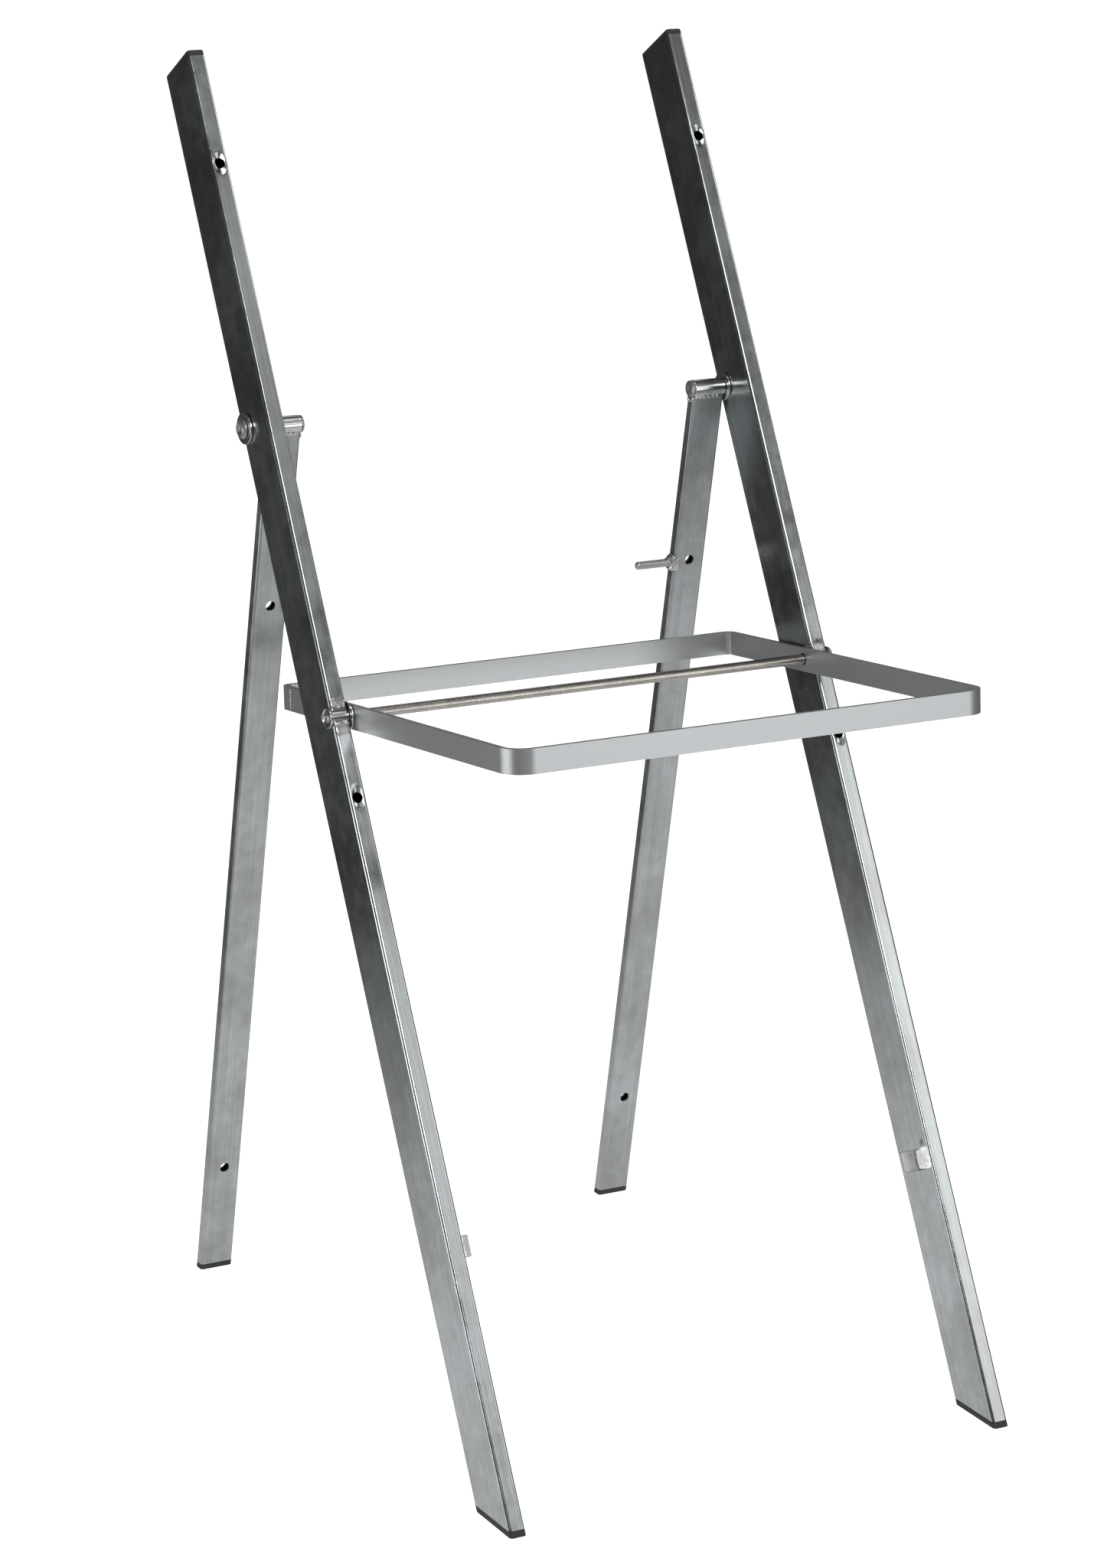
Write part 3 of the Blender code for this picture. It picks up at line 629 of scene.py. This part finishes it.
def finish_named(name):
    """Returns a finish of the chair, making it when it is first asked for."""
    made = bpy.data.materials.get(name)
    if made:
        return made
    colours = bpy.context.scene.chair_colours
    leg_x = sum(abs(corner.x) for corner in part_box("front_leg_right")) / 2
    inner_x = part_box("front_leg_right")[0].x
    rear_x = sum(abs(corner.x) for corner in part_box("rear_leg_right")) / 2
    pin_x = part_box("rear_leg_right")[0].x
    tab_low, tab_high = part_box("fold_tab_right")
    if name == "zinc_front_leg":
        over_barrel = FRONT_AXES @ Vector((leg_x, -FACE_BEFORE_ROD, 0.0065))
        tab_middle = FRONT_AXES.inverted() @ ((tab_low + tab_high) / 2)
        tab_spot = FRONT_AXES @ Vector((inner_x, 0.0062 - FACE_BEFORE_ROD, tab_middle.z + 0.0098))
        stains = [(over_barrel, 0.011, 0.55), (tab_spot, 0.0034, 1.0)]
        return plated_finish(name, tuple(colours.zinc_light), tuple(colours.zinc_dark), FRONT_LEAN,
                             (1.0, 1.0, 0.012), 15.0, (0.16, 0.26), stains)
    if name == "zinc_rear_leg":
        under_barrel = REAR_AXES @ Vector((rear_x, -REAR_TUBE_DEPTH / 2, -0.008))
        at_pin = REAR_AXES @ Vector((pin_x, 0.0, -PIN_BELOW_PIVOT))
        stains = [(under_barrel, 0.013, 0.25), (at_pin, 0.010, 0.5)]
        return plated_finish(name, tuple(colours.zinc_light), tuple(colours.zinc_dark), -REAR_LEAN,
                             (1.0, 1.0, 0.012), 17.0, (0.27, 0.38), stains)
    if name == "zinc_ring":
        return plated_finish(name, tuple(colours.ring_light), tuple(colours.ring_dark), RING_TILT,
                             (0.02, 0.02, 1.0), 14.0, (0.07, 0.14), relief_share=0.12)
    # Dull matt zinc with its colour raised to near white: painted light that stands in for the bright light
    # falling on the tab
    if name == "zinc_tab":
        return plated_finish(name, (0.99, 0.99, 0.98), (0.95, 0.96, 0.96), FRONT_LEAN,
                             (1.0, 1.0, 0.2), 60.0, (0.44, 0.54), metallic=0.0, relief_share=0.2)
    if name == "dull_weld":
        return weld_finish(name, (0.93, 0.94, 0.92), 0.1, metallic=0.2)
    if name == "zinc_pin":
        return turned_metal(name, tuple(colours.zinc_light), (0.28, 0.40), 90.0, 0.2)
    if name == "bright_zinc":
        return turned_metal(name, tuple(colours.bright_zinc), (0.14, 0.26), 120.0, 0.25)
    if name == "drawn_rod_steel":
        return turned_metal(name, tuple(colours.rod_steel), (0.16, 0.27), 60.0, 0.12)
    if name == "rivet_steel":
        return turned_metal(name, tuple(colours.rivet_steel), (0.16, 0.30), 140.0, 0.35)
    if name == "weld_metal":
        return weld_finish(name, tuple(colours.weld_metal), 0.35)
    if name == "ground_weld":
        return weld_finish(name, tuple(0.72 * channel for channel in colours.weld_metal), 0.5)
    if name == "black_plastic":
        return plastic_finish(name, tuple(colours.plastic), tuple(colours.plastic_rubbed))
    raise KeyError(name)


# ---- operators: one for each piece, or group of like pieces ----
class CHAIR_OT_front_legs(bpy.types.Operator):
    """Front legs of rectangular tube, pressed in round each slat hole"""
    bl_idname = "chair.front_legs"
    bl_label = "Front Legs"

    def execute(self, context):
        for side_name in SIDES:
            node = "front_leg_" + side_name
            shape = joined_part(node)
            for along in SLAT_HOLES_FROM_ROD:
                press_hole(shape, FRONT_AXES, along, context.scene.chair_sizes)
            centre = FRONT_AXES @ Vector((0.0, TUBE_DEPTH / 2 - FACE_BEFORE_ROD, 0.0))
            centre.x = sum(corner.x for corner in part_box(node)) / 2
            flats_lead_shading(shape, FRONT_AXES, centre, TUBE_WIDTH - 2 * TUBE_RADIUS,
                               TUBE_DEPTH - 2 * TUBE_RADIUS)
            set_down("plated_" + node, shape, "frame", finish_named("zinc_front_leg"), [node])
        return {"FINISHED"}


class CHAIR_OT_rear_legs(bpy.types.Operator):
    """Rear legs of flat rectangular tube"""
    bl_idname = "chair.rear_legs"
    bl_label = "Rear Legs"

    def execute(self, context):
        for side_name in SIDES:
            node = "rear_leg_" + side_name
            shape = joined_part(node)
            centre = REAR_AXES.to_translation()
            centre.x = sum(corner.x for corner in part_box(node)) / 2
            flats_lead_shading(shape, REAR_AXES, centre, REAR_TUBE_WIDTH - 2 * REAR_TUBE_RADIUS,
                               REAR_TUBE_DEPTH - 2 * REAR_TUBE_RADIUS)
            set_down("plated_" + node, shape, "rear_" + side_name, finish_named("zinc_rear_leg"),
                     [node])
        return {"FINISHED"}


class CHAIR_OT_end_caps(bpy.types.Operator):
    """Black plastic caps on the tops and the feet of the tubes"""
    bl_idname = "chair.end_caps"
    bl_label = "End Caps"

    def execute(self, context):
        for side_name in SIDES:
            bodies = {"top_cap_": "frame", "front_foot_cap_": "frame", "rear_foot_cap_": "rear_" + side_name}
            for start, body in bodies.items():
                node = start + side_name
                shape = joined_part(node)
                flat_faces_whole(shape)
                ease_edges(shape, 0.0003, 2, sharp_edges(shape, 50))
                set_down("moulded_" + node, shape, body, finish_named("black_plastic"),
                         [node])
        return {"FINISHED"}


class CHAIR_OT_seat_ring(bpy.types.Operator):
    """Seat ring of flat bar on edge, with its long edges eased and its closing weld ground flush"""
    bl_idname = "chair.seat_ring"
    bl_label = "Seat Ring"

    def execute(self, context):
        sizes = context.scene.chair_sizes
        shape = joined_part("seat_ring")
        flat_faces_whole(shape)
        up = RING_AXES.to_3x3() @ Vector((0.0, 0.0, 1.0))
        rims = []
        for edge in sharp_edges(shape, 60):
            level = [abs(face.normal.dot(up)) > 0.9 for face in edge.link_faces]
            if any(level):
                rims.append(edge)
        ease_edges(shape, sizes.bar_ease, 3, rims)
        set_down("plated_seat_ring", shape, "seat", finish_named("zinc_ring"), ["seat_ring"])
        outer_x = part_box("seat_ring")[0].x
        seam = weld_bead((RING_HEIGHT - 0.001, 0.0012, 0.00025), 7, 0.2, (2.0, 0.0, 5.0))
        stand = Matrix.Rotation(math.pi / 2, 4, "Y")
        middle = RING_TOP_ABOVE_ROD - RING_HEIGHT / 2
        place = RING_AXES @ Matrix.Translation((outer_x, RING_BACK_REACH - 0.0135, middle))
        set_down("ring_closing_weld", moved_to(seam, place @ stand), "seat", finish_named("weld_metal"))
        return {"FINISHED"}


class CHAIR_OT_seat_rod(bpy.types.Operator):
    """Cross rod of drawn steel, riveted over at both ends"""
    bl_idname = "chair.seat_rod"
    bl_label = "Seat Rod"

    def execute(self, context):
        sizes = context.scene.chair_sizes
        _, inboard, thick, centre = round_part_sizes("rod_end_washer_right")
        seated = inboard + 0.8 * END_WASHER_HOLLOW * thick
        rod_radius = ROD_BORE - 0.0003
        rod = turned([(0.0, -seated), (rod_radius, -seated), (rod_radius, seated), (0.0, seated)], 1,
                     0.0001, sizes.turn_steps)
        moved_to(rod, Matrix.Translation((0.0, centre.y, centre.z)))
        set_down("drawn_seat_rod", rod, "frame", finish_named("drawn_rod_steel"), ["seat_rod"])
        dome = dome_section(ROD_HEAD_RADIUS, END_WASHER_HOLLOW * thick + 0.0002, ROD_HEAD_DOME)
        for side_name, side in SIDES.items():
            section = [(0.0, 0.0), (ROD_HEAD_RADIUS, 0.0)] + dome[::-1]
            head = turned(section, side, 0.0001, sizes.turn_steps)
            moved_to(head, Matrix.Translation((side * (inboard + 0.00001), centre.y, centre.z)))
            set_down("rod_head_" + side_name, head, "frame", finish_named("rivet_steel"))
        return {"FINISHED"}


class CHAIR_OT_seat_pivots(bpy.types.Operator):
    """Barrels and washers that carry the seat rod"""
    bl_idname = "chair.seat_pivots"
    bl_label = "Seat Pivots"

    def execute(self, context):
        sizes = context.scene.chair_sizes
        slots = {"seat_barrel_": "zinc_barrel", "seat_washer_": "zinc_washer",
                 "rod_end_washer_": "zinc_washer"}
        for side_name, side in SIDES.items():
            for start, slot in slots.items():
                node = start + side_name
                radius, inboard, thick, centre = round_part_sizes(node)
                section = ring_section(radius, ROD_BORE, thick)
                if start == "rod_end_washer_":
                    hollow = END_WASHER_HOLLOW * thick
                    section = [(ROD_BORE, 0.0), (radius, 0.0), (radius, thick), (radius - 0.0010, thick),
                               (radius - 0.0014, hollow), (ROD_BORE, hollow)]
                shape = turned(section, side, sizes.edge_ease, sizes.turn_steps, closed=True)
                moved_to(shape, Matrix.Translation((side * inboard, centre.y, centre.z)))
                set_down("turned_" + node, shape, "frame", finish_named("bright_zinc"), [node])
        return {"FINISHED"}


class CHAIR_OT_upper_pivots(bpy.types.Operator):
    """Rivets, washers and barrels that the rear legs hang from"""
    bl_idname = "chair.upper_pivots"
    bl_label = "Upper Pivots"

    def washers_and_barrel(self, sizes, side_name, side):
        rear = "rear_" + side_name
        parts = {"upper_washer_outer_": ("frame", "zinc_washer"),
                 "upper_washer_inner_": ("frame", "zinc_washer"),
                 "rear_barrel_": (rear, "zinc_barrel")}
        for start, (body, slot) in parts.items():
            node = start + side_name
            radius, inboard, thick, centre = round_part_sizes(node)
            shape = turned(ring_section(radius, RIVET_BORE, thick), side, sizes.edge_ease,
                           sizes.turn_steps, closed=True)
            moved_to(shape, Matrix.Translation((side * inboard, centre.y, centre.z)))
            set_down("turned_" + node, shape, body, finish_named("bright_zinc"), [node])

    def rivet(self, sizes, side_name, side):
        """The head is domed, with the ring and hollow that its setting tool leaves."""
        node = "upper_rivet_" + side_name
        radius, inboard, whole, centre = round_part_sizes(node)
        barrel = round_part_sizes("rear_barrel_" + side_name)
        washer = round_part_sizes("upper_washer_outer_" + side_name)
        head_base = washer[1] + washer[2] + 0.0003
        outer = inboard + whole
        head = outer - head_base
        tail_base = barrel[1] - 0.0003
        tail = tail_base - inboard
        tail_radius = 0.86 * radius
        section = [(0.0, outer - 0.46 * head), (0.12 * radius, outer - 0.40 * head),
                   (0.24 * radius, outer - 0.58 * head), (0.42 * radius, outer - 0.50 * head),
                   (0.54 * radius, outer - 0.04 * head), (0.66 * radius, outer),
                   (0.76 * radius, outer - 0.10 * head), (0.92 * radius, outer - 0.46 * head),
                   (radius, head_base + 0.25 * head), (0.98 * radius, head_base), (RIVET_SHANK, head_base),
                   (RIVET_SHANK, tail_base), (tail_radius, tail_base), (tail_radius, tail_base - 0.6 * tail),
                   (0.72 * tail_radius, inboard), (0.34 * tail_radius, inboard), (0.0, inboard + 0.3 * tail)]
        shape = turned(section, side, 0.00022, sizes.turn_steps)
        moved_to(shape, Matrix.Translation((0.0, centre.y, centre.z)))
        set_down("set_" + node, shape, "frame", finish_named("rivet_steel"), [node])

    def execute(self, context):
        sizes = context.scene.chair_sizes
        for side_name, side in SIDES.items():
            self.washers_and_barrel(sizes, side_name, side)
            self.rivet(sizes, side_name, side)
        return {"FINISHED"}


class CHAIR_OT_stops(bpy.types.Operator):
    """Stop pins on the rear legs and fold tabs on the front legs, with their welds"""
    bl_idname = "chair.stops"
    bl_label = "Stops"

    def pin(self, sizes, side_name, side):
        node = "stop_pin_" + side_name
        low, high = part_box(node)
        base = max(abs(low.x), abs(high.x))
        length_out = high.x - low.x
        dome = dome_section(PIN_RADIUS, length_out - PIN_TIP_DOME, PIN_TIP_DOME)
        section = [(0.0, 0.0), (PIN_RADIUS, 0.0)] + dome[::-1]
        shape = turned(section, -side, 0.0001, sizes.turn_steps)
        place = REAR_AXES @ Matrix.Translation((side * base, 0.0, -PIN_BELOW_PIVOT))
        moved_to(shape, place)
        body = "rear_" + side_name
        set_down("plated_" + node, shape, body, finish_named("zinc_pin"), [node])
        collar = weld_bead((0.0112, 0.0078, 0.0017), 3, 0.10, (0.0, 4.0, 1.0 + side))
        collar_turn = Matrix.Rotation(-side * math.pi / 2, 4, "Y")
        moved_to(collar, place @ Matrix.Translation((-side * 0.0002, 0.0, 0.0002)) @ collar_turn)
        fillet = bmesh.new()
        bmesh.ops.create_cube(fillet, size=1.0, matrix=Matrix.Diagonal((0.0060, 0.0030, 0.0050, 1.0)))
        for vert in fillet.verts:
            if vert.co.z > 0.0 and vert.co.x * side < 0.0:
                vert.co.z = -0.0018
        bmesh.ops.subdivide_edges(fillet, edges=fillet.edges, cuts=3, use_grid_fill=True)
        for _ in range(3):
            bmesh.ops.smooth_vert(fillet, verts=fillet.verts, factor=0.5, use_axis_x=True,
                                  use_axis_y=True, use_axis_z=True)
        moved_to(fillet, place @ Matrix.Translation((-side * 0.0027, -0.0003, 0.0036)))
        wrap = weld_bead((0.0048, 0.0080, 0.0006), 1, 0.0, (side, 8.0, 2.0))
        over_edge = Matrix.Translation((side * 0.0018, -REAR_TUBE_DEPTH / 2, -0.0004))
        moved_to(wrap, place @ over_edge @ ON_FRONT_FACE)
        welds = join_shapes([collar, fillet, wrap])
        set_down("stop_pin_weld_" + side_name, welds, body, finish_named("weld_metal"))

    def tab(self, sizes, side_name, side):
        """Plate square to the leg, with weld metal over the strip of leg in front of it."""
        node = "fold_tab_" + side_name
        low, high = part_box(node)
        centre = (low + high) / 2
        root_x = side * max(abs(low.x), abs(high.x))
        middle = FRONT_AXES.inverted() @ centre
        plate = bmesh.new()
        size = (high.x - low.x, TAB_THICKNESS, TAB_HEIGHT)
        bmesh.ops.create_cube(plate, size=1.0, matrix=Matrix.Diagonal((*size, 1.0)))
        ease_edges(plate, 0.0005, 3, plate.edges[:])
        at_plate = Matrix.Translation((centre.x, TAB_BEHIND_FACE - FACE_BEFORE_ROD + TAB_THICKNESS / 2,
                                       middle.z))
        moved_to(plate, FRONT_AXES @ at_plate)
        # The plate's near-white finish is partly dull zinc and partly painted light
        set_down("plated_" + node, plate, "frame", finish_named("zinc_tab"), [node])
        beads = []
        for up, back, tall, deep, high in ((0.0, 0.0068, 0.0130, 0.0118, 0.0013),
                                           (0.0046, 0.0058, 0.0048, 0.0070, 0.0019),
                                           (-0.0044, 0.0046, 0.0052, 0.0062, 0.0018),
                                           (0.0, 0.0124, 0.0120, 0.0030, 0.0016)):
            bead = weld_bead((tall, deep, high), 1, 0.02, (side, 1000 * up, 3.0))
            stand = Matrix(((0, 0, -side, 0), (0, side, 0, 0), (1, 0, 0, 0), (0, 0, 0, 1)))
            at_root = Matrix.Translation((root_x + side * 0.0002, back - FACE_BEFORE_ROD, middle.z + up))
            beads.append(moved_to(bead, FRONT_AXES @ at_root @ stand))
        set_down("fold_tab_weld_" + side_name, join_shapes(beads), "frame", finish_named("dull_weld"))

    def execute(self, context):
        sizes = context.scene.chair_sizes
        for side_name, side in SIDES.items():
            self.pin(sizes, side_name, side)
            self.tab(sizes, side_name, side)
        return {"FINISHED"}


class CHAIR_OT_barrel_welds(bpy.types.Operator):
    """Weld beads between the barrels and the tubes"""
    bl_idname = "chair.barrel_welds"
    bl_label = "Barrel Welds"

    def seat_welds(self, sizes, side_name, side):
        low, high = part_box("front_leg_" + side_name)
        centre_x = (low.x + high.x) / 2
        across = high.x - low.x
        ripples = int((across - 0.001) / sizes.ripple_pitch)

        def on_face(bead, offset, up, sunk=0.0):
            place = FRONT_AXES @ Matrix.Translation((centre_x + offset, sunk - FACE_BEFORE_ROD, up))
            return moved_to(bead, place @ ON_FRONT_FACE)

        root = weld_bead((across - 0.0006, 0.0026, sizes.bead_height), ripples, sizes.ripple_depth,
                         (side, 7.0, 2.0))
        knot = weld_bead((0.0026, 0.0020, 0.0010), 1, 0.1, (side, 5.0, 3.0))
        beads = join_shapes([on_face(root, 0.0, -0.0052), on_face(knot, -0.0032, -0.0112)])
        set_down("seat_barrel_weld_" + side_name, beads, "frame", finish_named("weld_metal"))
        patches = []
        for up, tall, seed in ((0.0072, 0.0066, 9.0), (-0.0084, 0.0060, 4.0)):
            patch = weld_bead((0.0096, tall, 0.00055), 1, 0.03, (side, 3.0, seed))
            patches.append(on_face(patch, 0.0, up))
        for offset in (-0.0022, 0.0014):
            knot = weld_bead((0.0022, 0.0014, 0.0006), 1, 0.1, (offset * 1000, side, 0.0))
            patches.append(on_face(knot, offset, 0.0102, -0.0002))
        set_down("seat_barrel_ground_weld_" + side_name, join_shapes(patches), "frame",
                 finish_named("ground_weld"))

    def rear_welds(self, sizes, side_name, side):
        low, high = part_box("rear_leg_" + side_name)
        centre_x = (low.x + high.x) / 2
        across = high.x - low.x
        ripples = int(across / sizes.ripple_pitch)
        beads = []
        for front in (-1, 1):
            bead = weld_bead((across - 0.0015, sizes.bead_width, sizes.bead_height), ripples,
                             sizes.ripple_depth, (front, side, 4.0))
            face = Matrix(((1, 0, 0, 0), (0, 0, front, 0), (0, -front, 0, 0), (0, 0, 0, 1)))
            place = REAR_AXES @ Matrix.Translation((centre_x, front * 0.0039, -0.0046))
            beads.append(moved_to(bead, place @ face))
        inner = weld_bead((0.0062, 0.0034, 0.0012), 3, 0.2, (side, 1.0, 6.0))
        face = Matrix(((0, 0, -side, 0), (side, 0, 0, 0), (0, -1, 0, 0), (0, 0, 0, 1)))
        place = REAR_AXES @ Matrix.Translation((centre_x - side * across / 2, 0.0, -0.0068))
        beads.append(moved_to(inner, place @ face))
        set_down("rear_barrel_weld_" + side_name, join_shapes(beads), "rear_" + side_name,
                 finish_named("weld_metal"))

    def execute(self, context):
        sizes = context.scene.chair_sizes
        for side_name, side in SIDES.items():
            self.seat_welds(sizes, side_name, side)
            self.rear_welds(sizes, side_name, side)
        return {"FINISHED"}


class CHAIR_OT_stage(bpy.types.Operator):
    """Pale floor, soft studio lights and the camera"""
    bl_idname = "chair.stage"
    bl_label = "Stage"

    def floor_finish(self, tint):
        """Pale floor. Reflections of it show a painted pool of light, a glow that fades with distance as a
        floor lit only near the chair would.
        """
        finish = bpy.data.materials.new("studio_floor")
        finish.use_nodes = True
        tree = finish.node_tree
        tree.nodes.clear()
        place = add_node(tree, "ShaderNodeTexCoord", 0, 0)
        far = add_node(tree, "ShaderNodeVectorMath", 1, 0, operation="DISTANCE")
        far.inputs[1].default_value = PAINTED_FLOOR_POOL
        tree.links.new(place.outputs["Object"], far.inputs[0])
        # Painted reflection: glossy rays see the floor glow, bright near the chair and fading with distance
        painted_pool_fade = map_range(tree, 2, 0, far.outputs["Value"], 0.35, 1.4, 0.80, 0.05, smooth=True)
        painted_pool_glow = add_node(tree, "ShaderNodeEmission", 3, 0)
        painted_pool_glow.inputs["Color"].default_value = (1.0, 1.0, 1.0, 1.0)
        tree.links.new(painted_pool_fade, painted_pool_glow.inputs["Strength"])
        matt = add_node(tree, "ShaderNodeBsdfDiffuse", 3, 1)
        matt.inputs["Color"].default_value = (*tint, 1.0)
        lift = add_node(tree, "ShaderNodeEmission", 3, 2)
        lift.inputs["Strength"].default_value = 0.96
        seen = add_node(tree, "ShaderNodeAddShader", 4, 1)
        tree.links.new(matt.outputs[0], seen.inputs[0])
        tree.links.new(lift.outputs[0], seen.inputs[1])
        ray_choice(tree, "Is Glossy Ray", seen, painted_pool_glow, "ShaderNodeOutputMaterial")
        return finish

    def floor(self, stage, tint):
        shape = bmesh.new()
        bmesh.ops.create_grid(shape, x_segments=1, y_segments=1, size=stage.floor_size / 2)
        mesh = bpy.data.meshes.new("studio_floor")
        shape.to_mesh(mesh)
        shape.free()
        mesh.materials.append(self.floor_finish(tint))
        floor = bpy.data.objects.new("studio_floor", mesh)
        floor.location = (0.0, 0.0, -0.0002)
        bpy.context.scene.collection.objects.link(floor)

    def room(self):
        """White to the camera, and a dim room in reflections."""
        world = bpy.data.worlds.new("studio_room")
        world.use_nodes = True
        tree = world.node_tree
        tree.nodes.clear()
        white = add_node(tree, "ShaderNodeBackground", 1, 0)
        white.inputs["Strength"].default_value = 1.0
        white.inputs["Color"].default_value = (1.0, 1.0, 1.0, 1.0)
        dim = add_node(tree, "ShaderNodeBackground", 1, 1)
        dim.inputs["Color"].default_value = (0.98, 1.0, 1.0, 1.0)
        dim.inputs["Strength"].default_value = 0.08
        ray_choice(tree, "Is Camera Ray", dim, white, "ShaderNodeOutputWorld")
        bpy.context.scene.world = world

    def softbox(self, name, heading, height, distance, size, brightness, tint=(1.0, 1.0, 1.0)):
        """A soft light seen from the chair at a heading (0 is the front, 90 its right-hand side)
        and an angle above the floor. Brightness is what it looks like in a mirror."""
        heading = math.radians(heading)
        height = math.radians(height)
        away = Vector((math.sin(heading) * math.cos(height), -math.cos(heading) * math.cos(height),
                       math.sin(height)))
        lamp = bpy.data.lights.new(name, "AREA")
        lamp.shape = "RECTANGLE"
        lamp.size = size[0]
        lamp.size_y = size[1]
        lamp.energy = brightness * math.pi * size[0] * size[1]
        lamp.color = tint
        light = bpy.data.objects.new(name, lamp)
        light.location = Vector(LIGHTS_AIM) + distance * away
        light.rotation_euler = away.to_track_quat("Z", "Y").to_euler()
        light.visible_camera = False
        bpy.context.scene.collection.objects.link(light)

    def lights(self, level):
        self.softbox("front_right_low_box", 27, -1, 2.6, (1.2, 0.75), 2.9 * level, (0.99, 1.0, 1.0))
        self.softbox("front_right_box", 41, 22, 2.6, (1.4, 1.0), 1.7 * level, (1.0, 1.0, 0.985))
        self.softbox("front_high_box", 36, 47, 2.6, (0.8, 0.4), 0.5 * level)
        self.softbox("front_fill", 28, 52, 2.7, (2.0, 1.3), 0.12 * level)
        self.softbox("front_left_box", -20, 38, 2.6, (1.1, 1.0), 10.0 * level)
        self.softbox("left_low_box", -100, -5, 1.7, (1.5, 0.42), 3.6 * level)
        self.softbox("right_box", 84, 34, 2.4, (0.8, 0.6), 3.0 * level)
        self.softbox("top_box", 20, 80, 2.2, (1.3, 1.0), 3.2 * level)
        self.softbox("back_box", 150, 35, 3.0, (1.4, 0.9), 0.8 * level)

    def camera(self, stage):
        data = bpy.data.cameras.new("camera")
        data.sensor_width = 36.0
        data.lens = stage.lens
        camera = bpy.data.objects.new("camera", data)
        level = Euler((math.radians(90.0 - CAMERA_DOWN), 0.0, -math.radians(CAMERA_HEADING))).to_matrix()
        turn = level @ Matrix.Rotation(math.radians(CAMERA_ROLL), 3, "Z")
        camera.matrix_world = Matrix.Translation(CAMERA_PLACE) @ turn.to_4x4()
        bpy.context.scene.collection.objects.link(camera)
        bpy.context.scene.camera = camera

    def execute(self, context):
        stage = context.scene.chair_stage
        self.floor(stage, tuple(context.scene.chair_colours.floor))
        self.room()
        self.lights(stage.soft_light)
        self.camera(stage)
        context.scene.view_settings.view_transform = "Standard"
        return {"FINISHED"}


class VIEW3D_PT_chair_frame(bpy.types.Panel):
    """Lists the pieces of the chair frame and the sizes and colours they use"""
    bl_idname = "VIEW3D_PT_chair_frame"
    bl_label = "Chair Frame"
    bl_space_type = "VIEW_3D"
    bl_region_type = "UI"
    bl_category = "Chair Frame"

    def draw(self, context):
        for operator in OPERATORS:
            self.layout.operator(operator.bl_idname)
        for group in (context.scene.chair_sizes, context.scene.chair_colours, context.scene.chair_stage):
            box = self.layout.box()
            for name in group.bl_rna.properties.keys():
                if name not in {"rna_type", "name"}:
                    box.prop(group, name)


OPERATORS = (CHAIR_OT_front_legs, CHAIR_OT_rear_legs, CHAIR_OT_end_caps, CHAIR_OT_seat_ring,
             CHAIR_OT_seat_rod, CHAIR_OT_seat_pivots, CHAIR_OT_upper_pivots, CHAIR_OT_stops,
             CHAIR_OT_barrel_welds, CHAIR_OT_stage)
CLASSES = (FrameSizes, FrameColours, StageSizes) + OPERATORS + (VIEW3D_PT_chair_frame,)


def register():
    for cls in CLASSES:
        bpy.utils.register_class(cls)
    bpy.types.Scene.chair_sizes = PointerProperty(type=FrameSizes)
    bpy.types.Scene.chair_colours = PointerProperty(type=FrameColours)
    bpy.types.Scene.chair_stage = PointerProperty(type=StageSizes)


def unregister():
    del bpy.types.Scene.chair_stage
    del bpy.types.Scene.chair_colours
    del bpy.types.Scene.chair_sizes
    for cls in reversed(CLASSES):
        bpy.utils.unregister_class(cls)


def main():
    register()
    bpy.ops.chair.front_legs()
    bpy.ops.chair.rear_legs()
    bpy.ops.chair.end_caps()
    bpy.ops.chair.seat_ring()
    bpy.ops.chair.seat_rod()
    bpy.ops.chair.seat_pivots()
    bpy.ops.chair.upper_pivots()
    bpy.ops.chair.stops()
    bpy.ops.chair.barrel_welds()
    bpy.ops.chair.stage()


if __name__ == "__main__":
    main()
